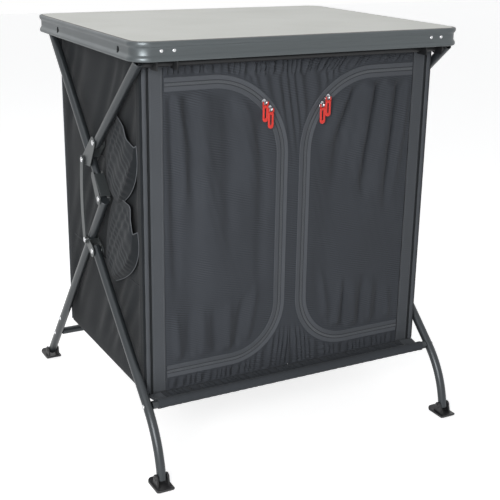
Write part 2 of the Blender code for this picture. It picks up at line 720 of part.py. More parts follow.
def make_knuckle(side, finish):
    """The fork on the end of the rear upper tube that holds the knee pin."""
    steel = finish["plate"]
    neck = along(UPPER_AXIS, REAR_UPPER_ANGLE, KNUCKLE_LENGTH)
    outline = capsule(KNEE, neck, EAR_RADIUS, EAR_SMALL_RADIUS)
    fork = prism_x(f"knuckle_{side}", outline, *side_range(side, EAR_OUT_LOW, EAR_OUT_HIGH), steel)
    inner = prism_x("inner_ear", outline, *side_range(side, EAR_IN_LOW, EAR_IN_HIGH), steel)
    low = KNUCKLE_TUBE_RADIUS + GAP
    start = KNUCKLE_START + EAR_SMALL_RADIUS
    corners = (
        (start, low),
        (KNUCKLE_LENGTH, low),
        (KNUCKLE_LENGTH, low + WEB_THICKNESS),
        (start, low + WEB_THICKNESS),
    )
    web_outline = [along(UPPER_AXIS, REAR_UPPER_ANGLE, *corner) for corner in corners]
    middle = (EAR_THICKNESS / 2) + EAR_IN_LOW
    web = prism_x("web", web_outline, *side_range(side, middle, EAR_OUT_LOW + EAR_THICKNESS / 2), steel)
    pin = headed_pin("pin", side, KNEE, HEAD_IN, HEAD_OUT, steel)
    return union(fork, web, inner, pin)


def make_rear_lower_legs(finish):
    """The tubes from the knee to the rear feet, with their bar and saddle plates."""
    steel = finish["tube"]
    reach = TUBE_PLANE - TUBE_RADIUS - GAP
    cross_bar("rear_lower_bar", REAR_BAR_PLACE, CROSS_BAR_RADIUS, reach, steel)
    stations = (-REAR_LOWER_START, REAR_FOOT_STATION + PAD_EAR_RADIUS * HEAD_SHARE)
    stops = [along(LOWER_AXIS, REAR_LOWER_ANGLE, station) for station in stations]
    for side in SIDES:
        name = f"rear_lower_tube_{side}"
        leg = side_tube(name, side, stops, [TUBE_RADIUS] * 2, steel)
        root = along(LOWER_AXIS, REAR_LOWER_ANGLE, 0, TUBE_WALL)
        outline = capsule(KNEE, root, LUG_RADIUS, LUG_RADIUS - TUBE_WALL)
        x_range = side_range(side, TUBE_PLANE - LUG_HALF_WIDTH, TUBE_PLANE + LUG_HALF_WIDTH)
        union(leg, prism_x("lug", outline, *x_range, steel))
        for place in (REAR_BAR_PLACE, REAR_RIVET_PLACE):
            union(leg, rivet_head(side, place, steel))
        cut_pin_holes(leg, side, [KNEE, LOCK_PIN, REAR_FOOT_HINGE])
        make_lower_plate(side, finish)


def make_lower_plate(side, finish):
    """The saddle on the rear lower tube that carries the front lower tube and the lock pin."""
    steel = finish["plate"]
    outline = capsule(LOCK_PIN, LOWER_PIVOT, EAR_SMALL_RADIUS, EAR_RADIUS)
    outer = side_range(side, EAR_OUT_LOW, EAR_OUT_HIGH)
    plate = prism_x(f"lower_plate_{side}", outline, *outer, steel)
    inner = prism_x("inner_ear", outline, *side_range(side, EAR_IN_LOW, EAR_IN_HIGH), steel)
    low = TUBE_RADIUS + GAP
    start = LOWER_PIVOT_STATION - EAR_SMALL_RADIUS
    end = LOWER_PIVOT_STATION + EAR_SMALL_RADIUS
    corners = ((start, low), (end, low), (end, low + WEB_THICKNESS), (start, low + WEB_THICKNESS))
    web_outline = [
        along(LOWER_AXIS, REAR_LOWER_ANGLE, station, -offset) for station, offset in corners
    ]
    middle = (EAR_THICKNESS / 2) + EAR_IN_LOW
    web = prism_x("web", web_outline, *side_range(side, middle, EAR_OUT_LOW + EAR_THICKNESS / 2), steel)
    pin = headed_pin("pin", side, LOWER_PIVOT, HEAD_IN, HEAD_OUT, steel)
    bolt = lock_stud(side, LOCK_PIN, EAR_IN_LOW, steel)
    return union(plate, web, inner, pin, bolt)


def make_front_lower_legs(finish):
    """The bent tubes to the front feet, their bar, and the fabric sleeve on the bar."""
    steel = finish["tube"]
    reach = TUBE_PLANE - TUBE_RADIUS - GAP
    cross_bar("front_lower_bar", FRONT_BAR_PLACE, CROSS_BAR_RADIUS, reach, steel)
    run = math.atan2(FRONT_BAR_PLACE[1] - LOWER_PIVOT[1], FRONT_BAR_PLACE[0] - LOWER_PIVOT[0])
    stops = [along(LOWER_PIVOT, run, -TUBE_END_OVERHANG)]
    for share in np.linspace(0, 1, BEND_STEPS + 1):
        weights = ((1 - share) ** 2, 2 * share * (1 - share), share**2)
        corners = (FRONT_BAR_PLACE, FRONT_BEND_CORNER, FRONT_FOOT_HINGE)
        stops.append(tuple(sum(w * c[axis] for w, c in zip(weights, corners)) for axis in (0, 1)))
    down = math.atan2(stops[-1][1] - stops[-2][1], stops[-1][0] - stops[-2][0])
    stops.append(along(FRONT_FOOT_HINGE, down, PAD_EAR_RADIUS * HEAD_SHARE))
    for side in SIDES:
        name = f"front_lower_tube_{side}"
        leg = side_tube(name, side, stops, [TUBE_RADIUS] * len(stops), steel)
        union(leg, rivet_head(side, FRONT_BAR_PLACE, steel))
        cut_pin_holes(leg, side, [LOWER_PIVOT, FRONT_FOOT_HINGE])
    bore = CROSS_BAR_RADIUS + GAP
    reach = CABINET_HALF_WIDTH - SLEEVE_INSET
    ends = [(-reach, *FRONT_BAR_PLACE), (reach, *FRONT_BAR_PLACE)]
    radius = bore + SLEEVE_THICKNESS
    tube("bar_sleeve", ends, [radius] * 2, finish["binding"], wall=SLEEVE_THICKNESS)


def make_lock_bar(side, finish):
    """The bowed bar that hangs on the upper plate and hooks on the lower plate's pin."""
    steel = finish["plate"]
    span = math.dist(LOCK_PIVOT, LOCK_PIN)
    down = math.atan2(LOCK_PIN[1] - LOCK_PIVOT[1], LOCK_PIN[0] - LOCK_PIVOT[0])
    shares = np.linspace(0, 1, ARC_STEPS + 1)
    bowed = [(span * share, LOCK_BOW * math.sin(math.pi * share)) for share in shares]
    edge = [
        along(LOCK_PIVOT, down, station, bow + LOCK_BAR_HALF_WIDTH) for station, bow in bowed
    ]
    edge += [
        along(LOCK_PIVOT, down, station, bow - LOCK_BAR_HALF_WIDTH)
        for station, bow in reversed(bowed)
    ]
    thick = side_range(side, LOCK_LOW, LOCK_HIGH)
    bar = prism_x(f"lock_bar_{side}", edge, *thick, steel)
    for place in (LOCK_PIVOT, LOCK_PIN):
        union(bar, prism_x("eye", circle(place, LOCK_EYE_RADIUS), *thick, steel))
    low, high = LOCK_LOW - OVERRUN, LOCK_HIGH + OVERRUN
    bore = PIN_RADIUS + GAP
    cut(bar, hole_x(LOCK_PIVOT, bore, low, high, side), hole_x(LOCK_PIN, bore, low, high, side))
    reach = LOCK_EYE_RADIUS + LOCK_BAR_HALF_WIDTH
    corners = ((0, -bore), (reach, -bore), (reach, bore), (0, bore))
    slot = [along(LOCK_PIN, LOCK_SLOT_ANGLE, station, offset) for station, offset in corners]
    cut(bar, prism_x("slot_cutter", slot, *side_range(side, low, high), None))
    return bar


def make_foot(name, side, hinge, shift, finish):
    """A pad whose ends curve up, with two ears and a pin that the leg turns on."""
    plastic = finish["plastic"]
    middle = hinge[0] + shift
    edge = PAD_LENGTH / 2
    flat = PAD_FLAT / 2
    corner = PAD_THICKNESS / 2
    half_flat = (flat + edge) / 2
    quarter_share = 0.3
    outline = [
        (middle - flat, 0),
        (middle + flat, 0),
        (middle + half_flat, PAD_RISE * quarter_share),
        (middle + edge, PAD_RISE),
        (middle + edge, PAD_RISE + corner),
        (middle + half_flat, PAD_RISE * quarter_share + PAD_THICKNESS),
        (middle + flat, PAD_THICKNESS),
        (middle - flat, PAD_THICKNESS),
        (middle - half_flat, PAD_RISE * quarter_share + PAD_THICKNESS),
        (middle - edge, PAD_RISE + corner),
        (middle - edge, PAD_RISE),
        (middle - half_flat, PAD_RISE * quarter_share),
    ]
    half_width = PAD_WIDTH / 2
    pad_range = side_range(side, TUBE_PLANE - half_width, TUBE_PLANE + half_width)
    pad = prism_x(name, outline, *pad_range, plastic)
    ear = arc(hinge, PAD_EAR_RADIUS, 0, math.pi)
    base = PAD_THICKNESS / 2
    ear += [(hinge[0] - PAD_EAR_FOOT, base), (hinge[0] + PAD_EAR_FOOT, base)]
    inner = TUBE_RADIUS + GAP
    outer = inner + PAD_EAR_THICKNESS
    for low, high in ((-outer, -inner), (inner, outer)):
        ear_range = side_range(side, TUBE_PLANE + low, TUBE_PLANE + high)
        union(pad, prism_x("ear", ear, *ear_range, plastic))
    ends = outer + FOOT_PIN_HEAD
    step = FOOT_PIN_HEAD * HEAD_SHARE
    profile = [
        (-ends, HEAD_RADIUS * HEAD_SHARE),
        (-ends + step, HEAD_RADIUS),
        (-outer + GAP, HEAD_RADIUS),
        (-outer + OVERRUN, PIN_RADIUS),
        (outer - OVERRUN, PIN_RADIUS),
        (outer - GAP, HEAD_RADIUS),
        (ends - step, HEAD_RADIUS),
        (ends, HEAD_RADIUS * HEAD_SHARE),
    ]
    centre = SIDES[side] * TUBE_PLANE
    pin = turned_x("pin", hinge, [(centre + x, radius) for x, radius in profile], plastic)
    return union(pad, pin)


def make_side_panel(side, finish):
    """A side wall of cloth with slight upright folds outwards."""
    low_y = PANEL_REAR_FACE + GAP
    high_y = CABINET_BACK - FABRIC_THICKNESS - GAP
    inner = CABINET_HALF_WIDTH - FABRIC_THICKNESS
    sign = SIDES[side]

    def place(u, v, back):
        swell = SIDE_FOLD_DEPTH * fold_wave(u, SIDE_FOLDS) * edge_calm(u) * edge_calm(v)
        x = inner + swell + (0 if back else FABRIC_THICKNESS)
        z = CABINET_BOTTOM + v * (PANEL_TOP - CABINET_BOTTOM)
        return (sign * x, low_y + u * (high_y - low_y), z)

    return cloth_grid(f"side_panel_{side}", place, WALL_ROWS, SIDE_COLUMNS, finish["fabric_side"])


def make_back_panel(finish):
    """The back wall of cloth, whose folds lie outwards."""
    width = CABINET_HALF_WIDTH

    def place(u, v, back):
        swell = BACK_FOLD_DEPTH * fold_wave(u, BACK_FOLDS) * edge_calm(u) * edge_calm(v)
        y = CABINET_BACK + swell - (FABRIC_THICKNESS if back else 0)
        z = CABINET_BOTTOM + v * (PANEL_TOP - CABINET_BOTTOM)
        return ((2 * u - 1) * width, y, z)

    return cloth_grid("back_panel", place, WALL_ROWS, BACK_COLUMNS, finish["fabric_side"])


def door_edge_path(inset, start_gap):
    """A door's free edge in (distance from the middle, Z), moved into the door by inset."""
    inner = DOOR_INNER + inset
    top = DOOR_TOP - inset
    bottom = DOOR_BOTTOM + inset
    hinge = DOOR_HINGE_X - start_gap
    upper_radius = DOOR_TOP_RADIUS - inset
    lower_radius = DOOR_BOTTOM_RADIUS - inset
    upper = arc((inner + upper_radius, top - upper_radius), upper_radius, math.pi / 2, math.pi)
    lower_centre = (inner + lower_radius, bottom + lower_radius)
    lower = arc(lower_centre, lower_radius, math.pi, 3 * math.pi / 2)
    return [(hinge, top)] + upper + lower + [(hinge, bottom)]


def make_front_fascia(finish):
    """The fixed cloth of the front: a top strip, the strip between the doors and a bottom strip."""
    right = door_edge_path(-GAP, -GAP)
    edge = [(BINDING_INNER - GAP, z) if x > DOOR_HINGE_X else (x, z) for x, z in right]
    left = [(-x, z) for x, z in reversed(edge)]
    outline = (
        [(BINDING_INNER - GAP, PANEL_TOP)]
        + edge
        + [(BINDING_INNER - GAP, CABINET_BOTTOM), (-BINDING_INNER + GAP, CABINET_BOTTOM)]
        + left
        + [(-BINDING_INNER + GAP, PANEL_TOP)]
    )
    return prism_y("front_fascia", outline, PANEL_FRONT_FACE, PANEL_REAR_FACE, finish["fabric"])


def make_door(side, finish):
    """A zipped door flap with upright folds that lie into the cabinet.

    Its rows follow the free edge's own points, so that it keeps an even gap to the front fascia.
    """
    sign = SIDES[side]
    hinge = DOOR_HINGE_X - GAP
    edge = door_edge_path(GAP, 0)[-2:0:-1]
    lower, upper = edge[: ARC_STEPS + 1], edge[ARC_STEPS + 1 :]
    steps = range(1, DOOR_MIDDLE_ROWS)
    rise = (upper[0][1] - lower[-1][1]) / DOOR_MIDDLE_ROWS
    middle = [(lower[-1][0], lower[-1][1] + rise * step) for step in steps]
    edge = lower + middle + upper
    low, high = edge[0][1], edge[-1][1]

    def place(u, v, back):
        free, z = edge[round(v * (len(edge) - 1))]
        x = hinge + u * (free - hinge)
        calm = edge_calm(u) * edge_calm((z - low) / (high - low))
        depth = DOOR_FOLD_DEPTH * fold_wave(x / hinge, DOOR_FOLDS) * calm
        y = depth + (PANEL_REAR_FACE if back else PANEL_FRONT_FACE)
        return (sign * x, y, z)

    return cloth_grid(f"door_{side}", place, len(edge) - 1, DOOR_COLUMNS, finish["fabric"])


def make_tape(name, side, low, high, finish):
    """A strip of zip tape along a door's free edge, between two insets into the door."""
    path = door_edge_path(low, TAPE_START_GAP)
    back = door_edge_path(high, TAPE_START_GAP)
    sign = SIDES[side]
    outline = [(sign * x, z) for x, z in path + back[::-1]]
    face = PANEL_FRONT_FACE - GAP
    return prism_y(name, outline, TAPE_FRONT, face, finish["tape"])


def slider_place(turn):
    """The place in (distance from the middle, Z) of a slider on a door's upper corner."""
    centre = (DOOR_INNER + DOOR_TOP_RADIUS, DOOR_TOP - DOOR_TOP_RADIUS)
    angle = math.pi - SLIDER_ANGLE - turn
    return (
        centre[0] + DOOR_TOP_RADIUS * math.cos(angle),
        centre[1] + DOOR_TOP_RADIUS * math.sin(angle),
    )


def make_slider(side, which, turn, finish):
    """A zip slider with a small bail, and the pull tab that hangs on it."""
    sign = SIDES[side]
    x, z = slider_place(turn)
    x = sign * x
    tangent = sign * (math.pi / 2 - SLIDER_ANGLE - turn)
    half_long = SLIDER_LENGTH / 2
    half_wide = SLIDER_WIDTH / 2
    taper_share = 0.7
    corners = (
        (-half_long, -half_wide * taper_share),
        (half_long * taper_share, -half_wide),
        (half_long, 0),
        (half_long * taper_share, half_wide),
        (-half_long, half_wide * taper_share),
    )
    direction = -sign if which == "upper" else sign
    outline = [
        along((x, z), tangent, direction * station, offset) for station, offset in corners
    ]
    name = f"zip_slider_{side}_{which}"
    slider = prism_y(name, outline, SLIDER_FRONT, TAPE_FRONT - GAP, finish["silver"])
    ring = circle((BAIL_AXIS_Y, z), BAIL_RADIUS)
    bail = prism_x("bail", ring, x - BAIL_WIDTH / 2, x + BAIL_WIDTH / 2, finish["silver"])
    ring = circle((BAIL_AXIS_Y, z), BAIL_RADIUS - BAIL_WIRE)
    reach = BAIL_WIDTH / 2 + OVERRUN
    cut(bail, prism_x("hole_cutter", ring, x - reach, x + reach, None))
    union(slider, bail)
    make_pull(f"zip_pull_{side}_{which}", x, z, finish)


def make_pull(name, x, bail_z, finish):
    """A long pull tab with a slot, whose cross wire runs through the slider's bail."""
    red = finish["red"]
    half = PULL_WIDTH / 2
    top = bail_z + PULL_EYE_RADIUS
    bottom = bail_z - PULL_LENGTH
    y_low = BAIL_AXIS_Y - PULL_THICKNESS / 2
    y_high = BAIL_AXIS_Y + PULL_THICKNESS / 2
    outline = [(x - half, top), (x - half, bottom + half)]
    outline += arc((x, bottom + half), half, math.pi, math.tau)[1:-1]
    outline += [(x + half, bottom + half), (x + half, top)]
    pull = prism_y(name, outline, y_low, y_high, red)
    slot_half = PULL_SLOT_WIDTH / 2
    window_half = BAIL_WIDTH / 2 + GAP
    arm = half - window_half
    window_low = bail_z - BAIL_RADIUS - GAP
    cut_low, cut_high = y_low - OVERRUN, y_high + OVERRUN
    window = [
        (x - window_half, window_low - arm),
        (x + window_half, window_low - arm),
        (x + window_half, top + OVERRUN),
        (x - window_half, top + OVERRUN),
    ]
    cut(pull, prism_y("slot_cutter", window, cut_low, cut_high, None))
    slot_top = window_low - 2 * arm
    slot_low = bottom + PULL_LENGTH * PULL_SLOT_END_SHARE
    slot = arc((x, slot_low + slot_half), slot_half, math.pi, math.tau)
    slot += arc((x, slot_top - slot_half), slot_half, 0, math.pi)
    cut(pull, prism_y("slot_cutter", slot, cut_low, cut_high, None))
    wire_radius = (BAIL_RADIUS - BAIL_WIRE) / 2
    ring = circle((BAIL_AXIS_Y, bail_z), wire_radius)
    return union(pull, prism_x("wire", ring, x - half + GAP, x + half - GAP, red))


def make_binding(side, finish):
    """The woven band down a front corner, with its piping and a short return on the side wall."""
    sign = SIDES[side]
    front = PANEL_FRONT_FACE - BINDING_THICKNESS / 2
    outer = CABINET_HALF_WIDTH + SIDE_FOLD_DEPTH / 2 + BINDING_THICKNESS
    step = CABINET_HALF_WIDTH + GAP
    rear = front + BINDING_THICKNESS
    edge = CABINET_HALF_WIDTH + BINDING_THICKNESS
    outline = [
        (BINDING_INNER, front),
        (outer, front),
        (outer, rear + BINDING_RETURN),
        (step, rear + BINDING_RETURN),
        (step, rear),
        (BINDING_INNER, rear),
    ]
    outline = [(sign * x, y) for x, y in outline]
    name = f"corner_binding_{side}"
    band = prism_z(name, outline, CABINET_BOTTOM, RIM_BOTTOM - GAP, finish["binding"])
    piping = circle((sign * edge, front), PIPING_RADIUS, ARC_STEPS)
    cord = prism_z("piping", piping, CABINET_BOTTOM, RIM_BOTTOM - GAP, finish["binding"])
    return union(band, cord)


def make_floor_and_shelves(finish):
    """The bottom board, the two shelves, and the cloth ledge to the front bar."""
    inner = CABINET_HALF_WIDTH - FABRIC_THICKNESS - GAP
    front = PANEL_REAR_FACE + GAP
    back = CABINET_BACK - FABRIC_THICKNESS - GAP
    levels = {
        "floor_board": (CABINET_BOTTOM, FLOOR_THICKNESS),
        "shelf_lower": (CABINET_BOTTOM + LOWER_SHELF_RISE, SHELF_THICKNESS),
        "shelf_upper": (CABINET_BOTTOM + UPPER_SHELF_RISE, SHELF_THICKNESS),
    }
    for name, (level, thickness) in levels.items():
        setback = 0 if name == "floor_board" else DOOR_FOLD_DEPTH
        low = (-inner, front + setback, level)
        block(name, low, (inner, back, level + thickness), finish["shelf"])
    seam = PANEL_FRONT_FACE + FABRIC_THICKNESS
    outer = FRONT_BAR_PLACE[0] + CROSS_BAR_RADIUS + SLEEVE_THICKNESS + 2 * GAP
    top = CABINET_BOTTOM - GAP
    bar_top = FRONT_BAR_PLACE[1] + LEDGE_THICKNESS / 2
    rings = []
    for half, y, z in (
        (CABINET_HALF_WIDTH - SLEEVE_INSET, outer, bar_top),
        (CABINET_HALF_WIDTH, seam, top),
    ):
        low = z - LEDGE_THICKNESS
        rings.append([(-half, y, low), (half, y, low), (half, y, z), (-half, y, z)])
    loft("front_ledge", rings, finish["binding"])


def make_pocket(name, bottom, height, finish):
    """A slack pocket on the left wall: a sheet that meets the wall at three edges and gapes at its mouth."""
    top = bottom + height
    wall = CABINET_HALF_WIDTH + POCKET_CLEAR

    def place(u, v, back):
        mouth = top - POCKET_MOUTH_DIP * math.sin(math.pi * u)
        z = bottom + v * (mouth - bottom)
        y = POCKET_START + u * POCKET_LENGTH
        across = math.sin(math.pi * u) ** 2
        forward_share = 1.6
        lean = forward_share * (1 - u)
        swell = POCKET_BULGE * across * lean * math.sin(math.pi / 2 * v) ** 2
        settled = SIDE_FOLD_DEPTH
        x = wall + settled + swell + (0 if back else POCKET_SHEET)
        return (-x, y, z)

    return cloth_grid(name, place, POCKET_ROWS, POCKET_COLUMNS, finish["pocket"])


def make_axis(name, place, carrier, pieces):
    """An empty on a joint's axis that carries the pieces which turn there. Returns (empty, place)."""
    empty = bpy.data.objects.new(name, None)
    bpy.context.scene.collection.objects.link(empty)
    place = Vector(place)
    empty.empty_display_size = TUBE_RADIUS
    empty.parent, carrier_place = carrier
    empty.location = place - carrier_place
    for piece in pieces:
        thing = bpy.data.objects[piece]
        thing.data.transform(Matrix.Translation(-place))
        thing.parent = empty
    return empty, place


def on_both(*names):
    """The names of pieces that stand once on each side."""
    return [f"{name}_{side}" for name in names for side in SIDES]


def hang_stand(body):
    """Puts each link of the stand, each foot and each lock bar on its own pivot."""
    pieces = ["front_hinge_bar"] + on_both("front_upper_tube")
    front_upper = make_axis("front_upper_legs", (0, *FRONT_HINGE), body, pieces)
    pieces = ["rear_upper_bar"] + on_both("rear_upper_tube", "upper_plate", "knuckle")
    rear_upper = make_axis("rear_upper_legs", (0, *UPPER_PIVOT), front_upper, pieces)
    pieces = ["rear_lower_bar"] + on_both("rear_lower_tube", "lower_plate")
    rear_lower = make_axis("rear_lower_legs", (0, *KNEE), rear_upper, pieces)
    pieces = ["front_lower_bar", "bar_sleeve"] + on_both("front_lower_tube")
    front_lower = make_axis("front_lower_legs", (0, *LOWER_PIVOT), rear_lower, pieces)
    for side, sign in SIDES.items():
        x = sign * TUBE_PLANE
        bar = f"lock_bar_{side}"
        make_axis(f"{bar}_axis", (x, *LOCK_PIVOT), rear_upper, [bar])
        foot = f"foot_front_{side}"
        make_axis(f"{foot}_axis", (x, *FRONT_FOOT_HINGE), front_lower, [foot])
        foot = f"foot_rear_{side}"
        make_axis(f"{foot}_axis", (x, *REAR_FOOT_HINGE), rear_lower, [foot])


def hang_doors(body):
    """Puts each door on its hinge line, each slider on its arc's centre and each pull on its bail."""
    arc_height = DOOR_TOP - DOOR_TOP_RADIUS
    for side, sign in SIDES.items():
        pieces = [f"door_{side}", f"door_tape_{side}"]
        hinge = (sign * DOOR_HINGE_X, DOOR_HINGE_Y, CABINET_BOTTOM)
        door = make_axis(f"door_{side}_axis", hinge, body, pieces)
        centre = (sign * (DOOR_INNER + DOOR_TOP_RADIUS), TAPE_FRONT, arc_height)
        for which, turn in SLIDER_TURNS.items():
            slider = f"zip_slider_{side}_{which}"
            pull = f"zip_pull_{side}_{which}"
            runner = make_axis(f"{slider}_axis", centre, door, [slider])
            x, z = slider_place(turn)
            make_axis(f"{pull}_axis", (sign * x, BAIL_AXIS_Y, z), runner, [pull])


def main():
    """Makes every piece of the cupboard and hangs the moving ones on their axes."""
    start_empty_scene()
    finish = {
        "laminate": make_material("laminate", (0.55, 0.56, 0.53), 0.35),
        "board": make_material("board", (0.30, 0.24, 0.17), 0.8),
        "aluminium": make_material("aluminium", (0.13, 0.14, 0.145), 0.35, 0.9),
        "steel": make_material("steel", (0.45, 0.46, 0.47), 0.35, 1.0),
        "tube": make_material("tube_coating", (0.09, 0.095, 0.10), 0.4, 0.3),
        "plate": make_material("plate_coating", (0.08, 0.085, 0.09), 0.4, 0.4),
        "plastic": make_material("black_plastic", (0.012, 0.012, 0.013), 0.5),
        "fabric": make_material("door_fabric", (0.045, 0.051, 0.058), 0.9),
        "fabric_side": make_material("wall_fabric", (0.026, 0.030, 0.033), 0.9),
        "binding": make_material("binding", (0.09, 0.097, 0.105), 0.85),
        "pocket": make_material("pocket_fabric", (0.055, 0.06, 0.066), 0.9),
        "tape": make_material("zip_tape", (0.08, 0.086, 0.093), 0.8),
        "silver": make_material("zip_metal", (0.7, 0.7, 0.7), 0.25, 1.0),
        "red": make_material("red_pull", (0.60, 0.03, 0.02), 0.4),
        "shelf": make_material("shelf_board", (0.03, 0.03, 0.032), 0.7),
    }
    make_worktop(finish)
    for side in SIDES:
        make_front_bracket(side, finish)
        make_rear_rest(side, finish)
        make_side_panel(side, finish)
        make_door(side, finish)
        half = TAPE_WIDTH / 2
        make_tape(f"fixed_tape_{side}", side, -half, -GAP, finish)
        make_tape(f"door_tape_{side}", side, GAP, half, finish)
        make_binding(side, finish)
        for which, turn in SLIDER_TURNS.items():
            make_slider(side, which, turn, finish)
        make_lock_bar(side, finish)
        make_foot(f"foot_front_{side}", side, FRONT_FOOT_HINGE, FRONT_PAD_SHIFT, finish)
        make_foot(f"foot_rear_{side}", side, REAR_FOOT_HINGE, REAR_PAD_SHIFT, finish)
    make_back_panel(finish)
    make_front_fascia(finish)
    make_floor_and_shelves(finish)
    make_pocket("side_pocket_upper", UPPER_POCKET_BOTTOM, UPPER_POCKET_HEIGHT, finish)
    make_pocket("side_pocket_lower", LOWER_POCKET_BOTTOM, LOWER_POCKET_HEIGHT, finish)
    make_front_upper_legs(finish)
    make_rear_upper_legs(finish)
    make_rear_lower_legs(finish)
    make_front_lower_legs(finish)
    moving = list(bpy.data.objects)
    body = make_axis("cupboard", (0, 0, 0), (None, Vector()), [thing.name for thing in moving])
    hang_stand(body)
    hang_doors(body)
    body[0].location.y = -(FRONT_PAD_EDGE + REAR_PAD_EDGE) / 2


main()
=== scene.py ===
"""Dresses the frame of a fabric camp kitchen cupboard on a folding tube stand.

Metres. X runs to the right of somebody who faces the doors, Y from the doors to the back, Z up.
Meshes are laid out from the middle of the worktop and moved along Y by Layout.shift, which
brings them into the frame's own coordinates.
"""

import json
import logging
import math
from collections.abc import Sequence
from dataclasses import dataclass, field
from enum import Enum

import bpy
import numpy as np
from mathutils import Matrix, Vector

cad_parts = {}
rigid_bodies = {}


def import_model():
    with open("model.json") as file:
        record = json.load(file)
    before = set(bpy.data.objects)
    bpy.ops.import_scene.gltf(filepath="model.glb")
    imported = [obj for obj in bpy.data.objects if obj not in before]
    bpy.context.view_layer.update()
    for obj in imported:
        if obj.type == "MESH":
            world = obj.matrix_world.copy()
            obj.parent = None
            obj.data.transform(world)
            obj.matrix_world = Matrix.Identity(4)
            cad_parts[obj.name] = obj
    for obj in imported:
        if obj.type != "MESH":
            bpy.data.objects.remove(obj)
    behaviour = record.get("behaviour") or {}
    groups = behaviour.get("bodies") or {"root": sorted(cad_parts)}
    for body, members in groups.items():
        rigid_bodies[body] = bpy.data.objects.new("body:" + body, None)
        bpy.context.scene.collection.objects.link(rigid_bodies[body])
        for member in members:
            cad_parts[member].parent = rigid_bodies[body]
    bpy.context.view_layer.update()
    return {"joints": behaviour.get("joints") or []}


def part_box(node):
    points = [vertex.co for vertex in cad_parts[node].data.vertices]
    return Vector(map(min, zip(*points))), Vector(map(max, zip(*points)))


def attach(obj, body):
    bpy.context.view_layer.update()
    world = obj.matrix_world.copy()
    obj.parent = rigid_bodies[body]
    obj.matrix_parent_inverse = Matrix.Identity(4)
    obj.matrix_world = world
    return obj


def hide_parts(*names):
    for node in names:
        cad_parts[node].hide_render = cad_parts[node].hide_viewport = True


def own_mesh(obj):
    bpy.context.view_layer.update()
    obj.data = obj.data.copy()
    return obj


Array = np.ndarray
Place = tuple[float, float]
TURN = math.tau
log = logging.getLogger("cupboard")


class Side(Enum):
    """The two sides of the cupboard, with their sign along X."""

    LEFT = -1
    RIGHT = 1

    @property
    def word(self) -> str:
        """The side's name as the nodes spell it."""
        return self.name.lower()


def along(origin: Place, angle: float, station: float, offset: float = 0.0) -> Place:
    """The place at a station along a direction, moved to its left by offset.

    Args:
        origin: the place that it starts from.
        angle: the direction.
        station: how far along.
        offset: how far to the left.

    Returns:
        The place.
    """
    return (
        origin[0] + station * math.cos(angle) - offset * math.sin(angle),
        origin[1] + station * math.sin(angle) + offset * math.cos(angle),
    )


@dataclass(frozen=True)
class Layout:
    """Sizes and places that the sub-assemblies share. Places are (Y, Z) before the shift."""

    width: float = 0.700
    depth: float = 0.555
    height: float = 0.820
    corner: float = 0.036
    gap: float = 0.0003
    rim_bottom: float = 0.785
    rim_top: float = 0.8196
    rim_inner: float = 0.005
    board_top: float = 0.8185
    board_bottom: float = 0.808
    ledge_bottom: float = 0.8061
    tube_plane: float = 0.332
    tube_radius: float = 0.009
    tube_wall: float = 0.0013
    bar_radius: float = 0.008
    hinge_radius: float = 0.006
    half: float = 0.317
    front: float = -0.221
    back: float = 0.207
    bottom: float = 0.140
    panel_top: float = 0.8039
    cloth: float = 0.002
    hinge: Place = (-0.247, 0.7785)
    knee: Place = (-0.058, 0.495)
    upper_angle: float = math.radians(45.4)
    lower_angle: float = math.radians(-49.7)
    foot_height: float = 0.020
    bar: Place = (-0.265, 0.139)
    bend: Place = (-0.3165, 0.0915)
    front_foot: Place = (-0.328, 0.020)
    upper_saddle: float = 0.0917
    lower_saddle: float = 0.1227
    shift: float = 0.0

    @property
    def face(self) -> float:
        """The front face of the front cloth."""
        return self.front - self.cloth / 2

    @property
    def rear(self) -> float:
        """The rear face of the front cloth."""
        return self.front + self.cloth / 2

    def upper(self, station: float, offset: float = 0.0) -> Place:
        """A place along the rear upper tube."""
        return along(along(self.knee, self.upper_angle, 0, 0.0095), self.upper_angle, station, offset)

    def lower(self, station: float, offset: float = 0.0) -> Place:
        """A place along the rear lower tube."""
        return along(along(self.knee, self.lower_angle, 0, -0.0095), self.lower_angle, station, offset)

    @property
    def upper_pivot(self) -> Place:
        """The pin between the front upper tube and the upper saddle."""
        return self.upper(self.upper_saddle, 0.050)

    @property
    def lock_pivot(self) -> Place:
        """The stud that the lock bar hangs on."""
        return self.upper(0.0982, -0.0195)

    @property
    def lock_pin(self) -> Place:
        """The bolt that the lock bar hooks on."""
        return self.lower(0.128)

    @property
    def lower_pivot(self) -> Place:
        """The pin between the front lower tube and the lower saddle."""
        return self.lower(self.lower_saddle, -0.033)

    @property
    def foot_station(self) -> float:
        """How far down the rear lower tube its foot hinge lies."""
        return (self.lower(0)[1] - self.foot_height) / -math.sin(self.lower_angle)


# Meshes


